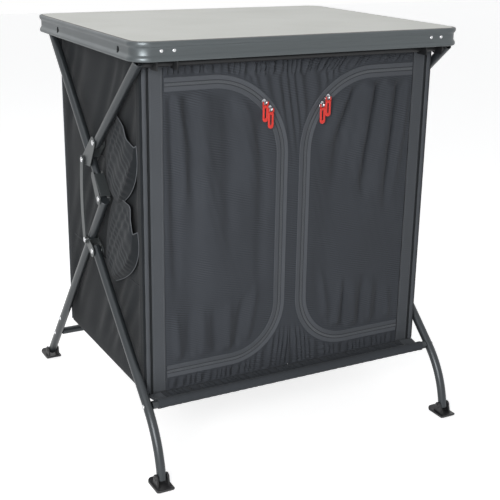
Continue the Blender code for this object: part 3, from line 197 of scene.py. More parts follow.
@dataclass
class Patch:
    """A grid of points with the ways in which it closes on itself.

    ring joins each row's end to its start, loop joins the last row to the first, and caps fills
    the first and last rows. slot is the material index. uv is in metres. towards is a direction
    that an open grid's front side faces; a closed one is turned outwards by its volume.
    """

    points: Array
    ring: bool = False
    loop: bool = False
    caps: bool = False
    slot: int = 0
    uv: Array | None = None
    towards: tuple[float, float, float] | None = None

    def faces(self) -> tuple[Array, list[list[int]]]:
        """The quads, turned outwards, and the caps, as indices into this grid's own points.

        Returns:
            The quads as rows of four indices, and a list of cap polygons.
        """
        rows, columns = self.points.shape[:2]
        index = np.arange(rows * columns).reshape(rows, columns)
        ends = [index[0].tolist(), index[-1].tolist()] if self.caps else []
        if self.ring:
            index = np.concatenate([index, index[:, :1]], axis=1)
        if self.loop:
            index = np.concatenate([index, index[:1]], axis=0)
        corners = (index[:-1, :-1], index[:-1, 1:], index[1:, 1:], index[1:, :-1])
        quads = np.stack(corners, axis=-1).reshape(-1, 4)
        points = self.points.reshape(-1, 3)
        p = points[quads]
        normals = np.cross(p[:, 2] - p[:, 0], p[:, 3] - p[:, 1])
        if self.towards is not None:
            facing = float((normals @ np.array(self.towards)).sum())
        else:
            facing = float(((p.mean(1) - points.mean(0)) * normals).sum())
        if facing < 0:
            quads = quads[:, ::-1]
            ends = [ends[0], ends[1][::-1]] if ends else []
        else:
            ends = [ends[0][::-1], ends[1]] if ends else []
        return quads, ends


def change(thing: bpy.types.Object, kind: str, **settings: object) -> None:
    """Adds a modifier with its settings to an object.

    Args:
        thing: the object.
        kind: the modifier's type.
        settings: its properties.
    """
    modifier = thing.modifiers.new(kind.lower(), kind)
    for name, value in settings.items():
        setattr(modifier, name, value)


@dataclass
class Workshop:
    """Turns patches into pieces that ride on the frame's bodies."""

    layout: Layout
    finish: dict[str, bpy.types.Material]
    made: list[str] = field(default_factory=list)

    def piece(
        self,
        name: str,
        patches: Sequence[Patch],
        kinds: str,
        body: str,
        node: str,
        slot: str,
        bevel: float = 0.0,
        thick: float = 0.0,
        sharp: float = 40.0,
        folds: bool = False,
        lean: float = 0.0,
        cutters: Sequence[Patch] = (),
    ) -> bpy.types.Object:
        """Makes one piece of the cupboard.

        Args:
            name: the piece's name.
            patches: its grids of points, before the shift along Y.
            kinds: the names of its finishes, in the order of the patches' slots.
            body: the body that it rides on.
            node: the node that it stands for.
            slot: the record's material slot; not used.
            bevel: the width of a bevel on its edges, or 0.
            thick: the thickness that a Solidify gives an open cloth, or 0.
            sharp: the angle in degrees above which an edge stays sharp.
            folds: whether it gets a mesh of its own.
            lean: a distance along X as a share of its rise; not used.
            cutters: closed patches that are cut out of it.

        Returns:
            The new object.
        """
        thing = self.mesh(name, patches, kinds, sharp)
        if cutters:
            self.combine(thing, [([cutter], "DIFFERENCE") for cutter in cutters], sharp)
        if thick:
            change(thing, "SOLIDIFY", thickness=thick, offset=-1.0, use_even_offset=False)
        if bevel:
            limit = math.radians(sharp)
            change(thing, "BEVEL", width=bevel, segments=2, limit_method="ANGLE", angle_limit=limit)
            change(thing, "WEIGHTED_NORMAL", keep_sharp=False)
        if bevel or thick:
            self.apply(thing, None)
        self.settle(thing, body, node, slot)
        if folds:
            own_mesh(thing)
        return thing

    def settle(self, thing: bpy.types.Object, body: str, node: str, slot: str) -> None:
        """Puts a finished object on its body and hides the node that it stands for.

        Args:
            thing: the object.
            body: the body that it rides on.
            node: the node it stands for.
            slot: the record's material slot; not used.
        """
        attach(thing, body)
        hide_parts(node)
        self.made.append(thing.name)
        log.info("%s: %d faces on %s", thing.name, len(thing.data.polygons), body)

    def mesh(
        self, name: str, patches: Sequence[Patch], kinds: str = "", sharp: float = 40.0
    ) -> bpy.types.Object:
        """A linked mesh object from patches, shaded smooth between its sharp edges.

        Args:
            name: the object's name.
            patches: its grids of points, before the shift along Y.
            kinds: the names of its finishes.
            sharp: the angle above which an edge stays sharp.

        Returns:
            The new object.
        """
        points, polygons, slots, uvs = [], [], [], []
        start = 0
        for patch in patches:
            quads, caps = patch.faces()
            flat = patch.points.reshape(-1, 3)
            polygons += (quads + start).tolist()
            polygons += [[start + corner for corner in cap] for cap in caps]
            slots += [patch.slot] * (len(quads) + len(caps))
            uvs.append(flat[:, :2] if patch.uv is None else patch.uv.reshape(-1, 2))
            points.append(flat)
            start += len(flat)
        shifted = np.concatenate(points) + (0.0, self.layout.shift, 0.0)
        data = bpy.data.meshes.new(name)
        data.from_pydata(shifted.tolist(), [], polygons)
        data.polygons.foreach_set("material_index", np.array(slots, np.int32))
        for kind in kinds.split():
            data.materials.append(self.finish[kind])
        corners = np.empty(len(data.loops), np.int32)
        data.loops.foreach_get("vertex_index", corners)
        layer = data.uv_layers.new(name="metres")
        layer.data.foreach_set("uv", np.concatenate(uvs)[corners].astype(np.float32).ravel())
        data.shade_smooth()
        data.set_sharp_from_angle(angle=math.radians(sharp))
        thing = bpy.data.objects.new(name, data)
        bpy.context.scene.collection.objects.link(thing)
        return thing

    def combine(
        self, thing: bpy.types.Object, tools: Sequence[tuple[Sequence[Patch], str]], sharp: float = 40.0
    ) -> None:
        """Joins patches to an object or cuts them out of it, in the order in which they come.

        Args:
            thing: the object.
            tools: for each step its patches and UNION or DIFFERENCE.
            sharp: the angle above which an edge stays sharp.
        """
        others = [self.mesh("tool", patches) for patches, _ in tools]
        for other, (_, way) in zip(others, tools):
            change(thing, "BOOLEAN", operation=way, object=other, solver="EXACT")
        self.apply(thing, sharp)
        for other in others:
            bpy.data.objects.remove(other, do_unlink=True)

    def apply(self, thing: bpy.types.Object, sharp: float | None) -> None:
        """Puts an object's modifiers into its mesh, and marks its sharp edges where sharp is given.

        Args:
            thing: the object.
            sharp: the angle above which an edge stays sharp, or None.
        """
        bpy.context.view_layer.update()
        graph = bpy.context.evaluated_depsgraph_get()
        data = bpy.data.meshes.new_from_object(thing.evaluated_get(graph))
        thing.modifiers.clear()
        thing.data = data
        if sharp is not None:
            data.shade_smooth()
            data.set_sharp_from_angle(angle=math.radians(sharp))

    def sheet(self, thing: bpy.types.Object, rows: Array, held: str, rests_on: str) -> None:
        """Takes a cloth and its grid of points, and does nothing with them.

        Args:
            thing: the cloth; not used.
            rows: its grid of points; not used.
            held: how it is held; not used.
            rests_on: the node that holds it; not used.
        """

    def node_box(self, node: str) -> tuple[Vector, Vector]:
        """A node's box, as its two corners before the shift along Y.

        Args:
            node: the node's name.

        Returns:
            The lowest and the highest corner.
        """
        move = Vector((0, self.layout.shift, 0))
        low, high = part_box(node)
        return low - move, high - move


def smooth(share: Array | float) -> Array:
    """A step from 0 to 1 with level ends, for shares clipped to that range."""
    t = np.clip(share, 0.0, 1.0)
    return t * t * (3.0 - 2.0 * t)


def calm(value: Array, low: float, high: float, reach: float) -> Array:
    """0 at two ends of a range and 1 from a reach inside them."""
    return smooth((value - low) / reach) * smooth((high - value) / reach)


def ripple(value: Array, pitch: float, seed: float) -> Array:
    """An uneven wave from -1 to 1: a sine whose phase wanders with two slower sines."""
    wander = 0.30 * np.sin(value / pitch * 1.31 + seed) + 0.22 * np.sin(value / pitch * 0.53 + 2.3 * seed)
    return np.sin(TURN * (value / pitch + wander))


def space(*parts: Array | float) -> Array:
    """Coordinates put together into points, each a number or an array of numbers."""
    return np.stack(np.broadcast_arrays(*parts), axis=-1)


def travelled(path: Array) -> Array:
    """The distance along a path at each of its points."""
    return np.concatenate([[0], np.cumsum(np.linalg.norm(np.diff(path, axis=0), axis=1))])


def grid(rows: int, columns: int) -> tuple[Array, Array]:
    """Two arrays of shares from 0 to 1, along the columns and along the rows."""
    return np.meshgrid(np.linspace(0, 1, columns + 1), np.linspace(0, 1, rows + 1))


def arc(centre: Place, radius: float, start: float, end: float, steps: int) -> Array:
    """Points along an arc, both ends included."""
    turn = np.linspace(start, end, steps + 1)
    return space(centre[0] + radius * np.cos(turn), centre[1] + radius * np.sin(turn))


def circle(centre: Place, radius: float, sides: int = 32) -> Array:
    """Points round a circle."""
    return arc(centre, radius, 0, TURN * (1 - 1 / sides), sides - 1)


def rounded(half_width: float, half_depth: float, radius: float, steps: int = 24) -> Array:
    """The outline of a rectangle round the origin with round corners.

    Args:
        half_width: half its width.
        half_depth: half its depth.
        radius: the corners' radius.
        steps: the spans of each corner.

    Returns:
        The points.
    """
    parts = []
    for quarter, (x, y) in enumerate(((1, 1), (-1, 1), (-1, -1), (1, -1))):
        centre = (x * (half_width - radius), y * (half_depth - radius))
        start = quarter * TURN / 4
        parts.append(arc(centre, radius, start, start + TURN / 4, steps))
    return np.concatenate(parts)


def capsule(first: Place, second: Place, first_radius: float, second_radius: float) -> Array:
    """The outline round two circles, joined by their outer tangents.

    Args:
        first: one circle's centre.
        second: the other's centre.
        first_radius: the first's radius.
        second_radius: the second's radius.

    Returns:
        The points.
    """
    turn = math.atan2(second[1] - first[1], second[0] - first[0])
    lean = math.acos((first_radius - second_radius) / math.dist(first, second))
    far = arc(second, second_radius, turn - lean, turn + lean, 16)
    near = arc(first, first_radius, turn + lean, turn - lean + TURN, 16)
    return np.concatenate([far, near])


def hull(points: Array) -> Array:
    """The convex outline of points in a plane: those that lie farthest out in some direction.

    Args:
        points: the points.

    Returns:
        Those on the outline, in order.
    """
    turn = np.linspace(0, TURN, 181)[:-1]
    farthest = np.argmax(points @ np.stack([np.cos(turn), np.sin(turn)]), axis=0)
    keep = farthest[np.insert(farthest[1:] != farthest[:-1], 0, farthest[0] != farthest[-1])]
    return points[keep]


def stadium(low: Place, high: Place, radius: float, steps: int = 12) -> Array:
    """A slot's outline from one centre to another above it."""
    base = arc(low, radius, math.pi, TURN, steps)
    return np.concatenate([base, arc(high, radius, 0, math.pi, steps)])


def lift(outline: Array, value: float, axis: int) -> Array:
    """An outline put into space at a place along one axis; its own two axes follow in order."""
    return np.insert(outline, axis, value, axis=1)


def slab(outline: Array, low: float, high: float, axis: int = 0) -> Patch:
    """An outline carried along an axis between two places, with filled ends."""
    return Patch(np.stack([lift(outline, low, axis), lift(outline, high, axis)]), ring=True, caps=True)


def box(low: Sequence[float], high: Sequence[float], radius: float = 0.0) -> Patch:
    """A block between two corners, its upright edges rounded by radius.

    Args:
        low: its lowest corner.
        high: its highest corner.
        radius: that of its upright edges.

    Returns:
        The block as one closed patch.
    """
    low, high = np.array(low), np.array(high)
    middle, half = (low + high) / 2, (high - low) / 2
    outline = rounded(half[0], half[1], max(radius, 1e-5), 6 if radius else 1) + middle[:2]
    return slab(outline, low[2], high[2], 2)


def turned(centre: Place, profile: Sequence[Place], axis: int = 0, sides: int = 32, slot: int = 0) -> Patch:
    """A turned solid. The profile lists (place along the axis, radius); the ends are filled."""
    rows = np.stack([lift(circle(centre, radius, sides), place, axis) for place, radius in profile])
    return Patch(rows, ring=True, caps=True, slot=slot)


def dome(centre: Place, base: float, reach: float, radius: float, axis: int = 0, slot: int = 0) -> Patch:
    """A rivet head: a low cap that rises by reach, of either sign, from a base along an axis.

    Args:
        centre: its place square to the axis.
        base: where it starts along the axis.
        reach: how far it rises, of either sign.
        radius: its radius.
        axis: the axis, from 0 to 2.
        slot: its material index.

    Returns:
        The head as one closed patch.
    """
    turns = np.linspace(0, TURN / 4 * 0.97, 8)
    profile = [(base + reach * math.sin(t), radius * math.cos(t)) for t in turns]
    return turned(centre, [(base - reach * 0.2, radius * 0.98), *profile], axis, 32, slot)


def pipe(path: Array, radius: float | Array, wall: float = 0.0, sides: int = 40, slot: int = 0) -> Patch:
    """A round tube along a path, hollow where it has a wall, with softened ends.

    Each ring lies square to the path: centre + radius * (side * cos t + up * sin t).

    Args:
        path: the points of its centre line.
        radius: its outer radius, or one for each point.
        wall: the wall's thickness, or 0 for a solid rod.
        sides: the points of each ring.
        slot: its material index.

    Returns:
        The tube as one closed patch.
    """
    path = np.asarray(path, float)
    radii = np.broadcast_to(np.asarray(radius, float), len(path)).copy()
    soft = min(0.0005, float(radii.min()) * 0.3)
    heads = [path[0] + (path[1] - path[0]) / np.linalg.norm(path[1] - path[0]) * soft]
    tails = [path[-1] + (path[-2] - path[-1]) / np.linalg.norm(path[-2] - path[-1]) * soft]
    path = np.concatenate([path[:1], heads, path[1:-1], tails, path[-1:]])
    radii = np.concatenate([[radii[0] - soft], radii[:1], radii[1:-1], radii[-1:], [radii[-1] - soft]])
    run = np.gradient(path, axis=0)
    run /= np.linalg.norm(run, axis=1, keepdims=True)
    side = np.array([0.0, 1.0, 0.0]) if abs(run[0, 0]) > 0.7 else np.array([1.0, 0.0, 0.0])
    up = np.cross(run, side)
    up /= np.linalg.norm(up, axis=1, keepdims=True)
    side = np.cross(up, run)
    turn = np.linspace(0, TURN, sides, endpoint=False)[None, :, None]
    spokes = side[:, None] * np.cos(turn) + up[:, None] * np.sin(turn)
    outer = path[:, None] + spokes * radii[:, None, None]
    if not wall:
        return Patch(outer, ring=True, caps=True, slot=slot)
    inner = path[:, None] + spokes * (radii[:, None, None] - wall)
    return Patch(np.concatenate([outer, inner[::-1]]), ring=True, loop=True, slot=slot)


def beads(radius: float, length: float, places: Array, runs: Array, out: Sequence[float]) -> list[Patch]:
    """Small capsules, each at its place and along its run, with one direction facing out.

    Args:
        radius: that of each.
        length: that of each.
        places: their middles.
        runs: their directions.
        out: the direction that faces out.

    Returns:
        One patch for each.
    """
    stations = np.array([-0.5, -0.36, 0.36, 0.5])[:, None] * length
    radii = np.array([0.45, 1.0, 1.0, 0.45])[:, None] * radius
    turn = np.linspace(0, TURN, 6, endpoint=False)
    shape = space(stations, radii * np.cos(turn), radii * np.sin(turn))
    runs = runs / np.linalg.norm(runs, axis=1, keepdims=True)
    out = np.broadcast_to(np.array(out, float), runs.shape)
    basis = np.stack([runs, np.cross(runs, out), out], axis=1)
    return [Patch(shape @ axes + place, ring=True, caps=True, slot=1) for axes, place in zip(basis, places)]


def spaced(path: Array, pitch: float) -> tuple[Array, Array]:
    """Places at an even pitch along a path, and the path's direction at each.

    Args:
        path: the points of the path.
        pitch: the distance between places.

    Returns:
        The places and the directions.
    """
    lengths = travelled(path)
    stops = np.arange(pitch / 2, lengths[-1], pitch)
    places, ahead, behind = (
        space(*(np.interp(stops + move, lengths, axis) for axis in path.T))
        for move in (0, pitch / 4, -pitch / 4)
    )
    return places, ahead - behind


def stitches(path: Array, pitch: float, out: Sequence[float]) -> list[Patch]:
    """A seam of short stitches along a path in space."""
    return beads(0.00035, pitch * 0.72, *spaced(path, pitch), out)


# Finishes


class Tree:
    """Adds nodes to one node tree and links them."""

    def __init__(self, tree: bpy.types.NodeTree) -> None:
        """Keeps the tree that the nodes go into."""
        self.tree = tree

    def feed(self, node: bpy.types.Node, inputs: dict) -> None:
        """Gives a node's inputs, by name or number, a socket that feeds them or a value.

        Args:
            node: the node.
            inputs: for each input's name or number, its socket or value.
        """
        for key, value in inputs.items():
            if isinstance(value, bpy.types.NodeSocket):
                self.tree.links.new(value, node.inputs[key])
            else:
                node.inputs[key].default_value = value

    def node(self, kind: str, inputs: dict, **settings: object) -> bpy.types.bpy_prop_collection:
        """Adds a node.

        Args:
            kind: the node's type, without its common prefix.
            inputs: for each input's name or number, the socket that feeds it or its value.
            settings: the node's own properties.

        Returns:
            The new node's outputs.
        """
        node = self.tree.nodes.new("ShaderNode" + kind)
        for name, value in settings.items():
            setattr(node, name, value)
        self.feed(node, inputs)
        return node.outputs

    def math(self, operation: str, *values: object) -> bpy.types.NodeSocket:
        """The result of a math node."""
        return self.node("Math", dict(enumerate(values)), operation=operation)[0]

    def span(self, value: bpy.types.NodeSocket, *ends: float) -> bpy.types.NodeSocket:
        """A value carried from one range to another, clamped; the ends are those of both ranges."""
        return self.node("MapRange", dict(enumerate((value, *ends))))[0]

    def mix(self, factor: object, first: object, second: object) -> bpy.types.NodeSocket:
        """Two colours mixed by a factor."""
        return self.node("Mix", {0: factor, 6: first, 7: second}, data_type="RGBA")[2]

    def noise(self, vector: object, scale: object, detail: float) -> bpy.types.NodeSocket:
        """A noise texture's value."""
        return self.node("TexNoise", {"Vector": vector, "Scale": scale, "Detail": detail})[0]

    def seen(self) -> bpy.types.NodeSocket:
        """1 for rays that come from the camera, straight, mirrored or through something clear.

        Returns:
            The socket of that number.
        """
        rays = self.node("LightPath", {})
        path = self.math("MAXIMUM", rays["Is Camera Ray"], rays["Is Glossy Ray"])
        return self.math("MAXIMUM", path, rays["Is Transmission Ray"])


class Surface(Tree):
    """The node tree of a new material, with its shader."""

    def __init__(self, name: str) -> None:
        """Makes the material.

        Args:
            name: the material's name.
        """
        self.material = bpy.data.materials.new(name)
        self.material.use_nodes = True
        super().__init__(self.material.node_tree)
        self.shader = self.tree.nodes["Principled BSDF"]

    def dress(
        self, colour: object, height: object, strength: float, distance: float, inputs: dict
    ) -> bpy.types.Material:
        """Feeds the shader.

        Args:
            colour: the socket of the base colour.
            height: the socket of the bump's height.
            strength: the bump's strength.
            distance: the bump's depth in metres.
            inputs: the shader's other inputs.

        Returns:
            The material.
        """
        bump = self.node("Bump", {"Strength": strength, "Distance": distance, "Height": height})
        self.feed(self.shader, {"Base Color": colour, "Normal": bump[0], **inputs})
        return self.material


def new_group(
    name: str, inputs: dict[str, str], outputs: Sequence[str]
) -> tuple[Tree, bpy.types.bpy_prop_collection, bpy.types.Node]:
    """A node group with the given sockets.

    Args:
        name: the group's name.
        inputs: each input's name and kind.
        outputs: the names of its outputs, all of them numbers.

    Returns:
        The group's tree, its input sockets by name and the node that takes its outputs.
    """
    tree = bpy.data.node_groups.new(name, "ShaderNodeTree")
    for way, sockets in (("INPUT", inputs), ("OUTPUT", dict.fromkeys(outputs, "Float"))):
        for label, kind in sockets.items():
            tree.interface.new_socket(name=label, in_out=way, socket_type="NodeSocket" + kind)
    return Tree(tree), tree.nodes.new("NodeGroupInput").outputs, tree.nodes.new("NodeGroupOutput")


@dataclass
class Effects:
    """The node groups that several materials share."""

    weave: bpy.types.NodeTree
    grain: bpy.types.NodeTree

    @classmethod
    def make(cls) -> "Effects":
        """Builds both groups."""
        return cls(cls.make_weave(), cls.make_grain())

    @staticmethod
    def make_weave() -> bpy.types.NodeTree:
        """A plain weave with faint slanting ribs and slow patches, as a height and a tone.

        Returns:
            The group.
        """
        inputs = {"Vector": "Vector", "Pitch": "Float", "Rib": "Float", "Patch": "Float"}
        tree, source, target = new_group("woven", inputs, ("Height", "Tone"))
        place = source["Vector"]
        across, up, _ = tree.node("SeparateXYZ", {0: place})
        rate = tree.math("DIVIDE", TURN, source["Pitch"])
        warp, weft = (tree.math("SINE", tree.math("MULTIPLY", way, rate)) for way in (across, up))
        cells = tree.math("MULTIPLY", warp, weft)
        slope = tree.math("ADD", up, tree.math("MULTIPLY", across, 0.26))
        ribs = tree.math("SINE", tree.math("MULTIPLY", slope, TURN / 0.0047))
        patches = tree.span(tree.noise(place, 22.0, 3.0), 0.46, 0.66, 0.15, 1.0)
        ribbed = tree.math("MULTIPLY", tree.math("MULTIPLY", ribs, patches), source["Rib"])
        height = tree.math("ADD", tree.math("MULTIPLY", cells, 0.35), ribbed)
        height = tree.math("ADD", height, tree.math("MULTIPLY", tree.noise(place, 900.0, 2.0), 0.4))
        tone = tree.math("MULTIPLY_ADD", ribbed, 0.36, 0.5)
        tone = tree.math("ADD", tone, tree.math("MULTIPLY", cells, 0.05))
        drift = tree.math("SUBTRACT", tree.noise(place, 7.0, 4.0), 0.5)
        drift = tree.math("MULTIPLY", drift, source["Patch"])
        tree.feed(target, {"Height": height, "Tone": tree.math("ADD", tone, drift)})
        return tree.tree

    @staticmethod
    def make_grain() -> bpy.types.NodeTree:
        """Fine speckle, slow wear and a fine height for coated, moulded and rolled surfaces.

        Returns:
            The group.
        """
        inputs = {"Vector": "Vector", "Scale": "Float", "Stretch": "Vector"}
        tree, source, target = new_group("grain", inputs, ("Speckle", "Wear", "Height"))
        place = source["Vector"]
        scaled = tree.node("VectorMath", {0: place, 1: source["Stretch"]}, operation="MULTIPLY")
        fine = tree.noise(scaled[0], source["Scale"], 3.0)
        speckle = tree.span(fine, 0.35, 0.65, 0.0, 1.0)
        wear = tree.span(tree.noise(place, 9.0, 5.0), 0.35, 0.7, 0.0, 1.0)
        tree.feed(target, {"Speckle": speckle, "Wear": wear, "Height": fine})
        return tree.tree


def linear(colour: Sequence[float], scale: float = 1.0) -> tuple[float, float, float, float]:
    """A colour of a screen, from 0 to 255, as scene-linear values.

    Args:
        colour: red, green and blue.
        scale: a factor for all three.

    Returns:
        Red, green, blue and an alpha of 1.
    """
    parts = [value / 255 for value in colour]
    parts = [p / 12.92 if p <= 0.04045 else ((p + 0.055) / 1.055) ** 2.4 for p in parts]
    return (*[min(p * scale, 1.0) for p in parts], 1.0)


@dataclass(frozen=True)
class ClothFinish:
    """A woven cloth."""

    name: str
    colour: tuple[float, float, float]
    pitch: float = 0.0009
    rib: float = 1.0
    patch: float = 0.5
    spread: float = 0.38
    roughness: float = 0.85
    bump: float = 0.25

    def weave(self, surface: Surface, effects: Effects) -> bpy.types.bpy_prop_collection:
        """The weave's outputs on a surface, laid by its UV map.

        Args:
            surface: the material's surface.
            effects: the shared groups.

        Returns:
            Its height and its tone.
        """
        metres = surface.node("UVMap", {}, uv_map="metres")[0]
        inputs = {"Vector": metres, "Pitch": self.pitch, "Rib": self.rib, "Patch": self.patch}
        return surface.node("Group", inputs, node_tree=effects.weave)

    def make(self, effects: Effects) -> bpy.types.Material:
        """The cloth's material.

        Args:
            effects: the shared groups.

        Returns:
            The material.
        """
        surface = Surface(self.name)
        weave = self.weave(surface, effects)
        tones = [linear(self.colour, scale) for scale in (1 - self.spread, 1 + self.spread)]
        inputs = {
            "Roughness": self.roughness, "Sheen Weight": 0.05, "Sheen Roughness": 0.5,
            "Specular IOR Level": 0.2,
        }
        return surface.dress(surface.mix(weave["Tone"], *tones), weave["Height"], self.bump, 0.0004, inputs)


@dataclass(frozen=True)
class TapeFinish(ClothFinish):
    """A woven zip tape: lengthwise ribs, and a groove beside the coil, darkened as painted shade.

    The UV's first number is the distance from the zip's line, in metres.
    """

    pitch: float = 0.0012
    rib: float = 0.0
    patch: float = 0.3
    spread: float = 0.35
    roughness: float = 0.8
    bump: float = 0.4
    # groove: where the painted shade beside the coil lies, in metres from the zip's line.
    groove: tuple[float, float] = (0.0029, 0.0042)
    groove_edge: float = 0.0004
    rib_pitch: float = 0.0023

    def make(self, effects: Effects) -> bpy.types.Material:
        """The tape's material.

        Args:
            effects: the shared groups.

        Returns:
            The material.
        """
        surface = Surface(self.name)
        weave = self.weave(surface, effects)
        across = surface.node("SeparateXYZ", {0: surface.node("UVMap", {}, uv_map="metres")[0]})[0]
        ribs = surface.math("SINE", surface.math("MULTIPLY", across, TURN / self.rib_pitch))
        (low, high), soft = self.groove, self.groove_edge
        inner = surface.span(across, low - soft, low + soft, 0.0, 1.0)
        outer = surface.span(across, high - soft, high + soft, 1.0, 0.0)
        groove = surface.math("MULTIPLY", inner, outer)
        tone = surface.math("MULTIPLY_ADD", ribs, 0.22, weave["Tone"])
        tones = [linear(self.colour, scale) for scale in (1 - self.spread, 1 + self.spread)]
        plain = surface.mix(tone, *tones)
        # Painted shade: the groove beside the coil is darkened to about a third of the tape's tone.
        colour = surface.mix(surface.math("MULTIPLY", groove, 0.8), plain, linear(self.colour, 0.18))
        height = surface.math("SUBTRACT", surface.math("MULTIPLY_ADD", ribs, 0.6, weave["Height"]), groove)
        inputs = {"Roughness": self.roughness, "Sheen Weight": 0.05, "Specular IOR Level": 0.2}
        return surface.dress(colour, height, self.bump, 0.0004, inputs)


@dataclass(frozen=True)
class HardFinish:
    """A coated, moulded, rolled or plated surface."""

    name: str
    colour: tuple[float, float, float]
    metallic: float = 0.0
    roughness: float = 0.4
    speckle: float = 0.06
    wear: float = 0.10
    scale: float = 1500.0
    stretch: tuple[float, float, float] = (1.0, 1.0, 1.0)
    bump: float = 0.08
    coat: float = 0.0

    def make(self, effects: Effects) -> bpy.types.Material:
        """The surface's material.

        Args:
            effects: the shared groups.

        Returns:
            The material.
        """
        surface = Surface(self.name)
        place = surface.node("TexCoord", {})["Object"]
        inputs = {"Vector": place, "Scale": self.scale, "Stretch": self.stretch}
        speckle, wear, height = surface.node("Group", inputs, node_tree=effects.grain)
        tones = [linear(self.colour, scale) for scale in (1 - self.speckle, 1 + self.speckle)]
        rough = surface.span(wear, 0.0, 1.0, self.roughness - self.wear / 2, self.roughness + self.wear / 2)
        inputs = {
            "Roughness": rough, "Metallic": self.metallic, "Coat Weight": self.coat, "Coat Roughness": 0.3,
        }
        return surface.dress(surface.mix(speckle, *tones), height, self.bump, 0.0003, inputs)


FINISHES = (
    HardFinish("laminate_grey", (196, 197, 191), roughness=0.45, speckle=0.05, scale=700),
    HardFinish("laminate_edge", (58, 52, 46), roughness=0.6),
    HardFinish("wood_board", (112, 92, 70), roughness=0.85, speckle=0.2, scale=300),
    HardFinish("satin_aluminium", (90, 95, 97), 0.85, 0.38, 0.05, 0.08, 900.0, (0.02, 0.02, 1.0), 0.12),
    HardFinish("bright_steel", (205, 206, 208), 1.0, 0.22),
    HardFinish("coated_tube", (53, 57, 60), 0.45, 0.36, 0.08, 0.08, 1800.0, coat=0.1),
    # A near-black coat for the hinge bar and its brackets: painted shadow, so that they read as the dark
    # shadow line under the rim.
    HardFinish("coated_dark", (26, 27, 29), 0.3, 0.5, 0.08, 0.08, 1800.0),
    HardFinish("coated_plate", (68, 72, 73), 0.5, 0.38, 0.08, 0.08, 1800.0),
    HardFinish("moulded_black", (26, 26, 28), roughness=0.46, speckle=0.1, bump=0.15),
    HardFinish("zip_silver", (196, 197, 200), 1.0, 0.26),
    HardFinish("red_plastic", (208, 48, 38), roughness=0.36, speckle=0.03),
    HardFinish("coil_grey", (84, 87, 91), roughness=0.6),
    ClothFinish("front_cloth", (58, 61, 66)),
    # The side cloth is darkened to about half the front cloth's tone: painted shade of the sides under the
    # worktop's overhang.
    ClothFinish("side_cloth", (26, 29, 32), rib=0.3),
    ClothFinish("band_webbing", (75, 78, 82), pitch=0.0016, rib=0.15, patch=0.15, bump=0.5),
    # The pocket cloth is lighter than the side cloth: painted light on the pocket's face that turns towards
    # the light.
    ClothFinish("pocket_weave", (39, 42, 45), rib=0.15),
    TapeFinish("zip_ribbon", (80, 83, 88)),
    ClothFinish("sleeve_cloth", (56, 59, 63), rib=0.3, patch=0.3),
    ClothFinish("ledge_cloth", (50, 53, 57), rib=0.3),
    ClothFinish("board_cover", (40, 42, 45), rib=0.5),
    ClothFinish("thread_grey", (92, 95, 99), rib=0.0, patch=0.0, bump=0.0),
    # A near-black cloth for the cord that stands for the shade in the groove beside the piping: painted
    # shade.
    ClothFinish("dark_seam", (28, 30, 32), rib=0.0, patch=0.0),
)


# Sub-assemblies


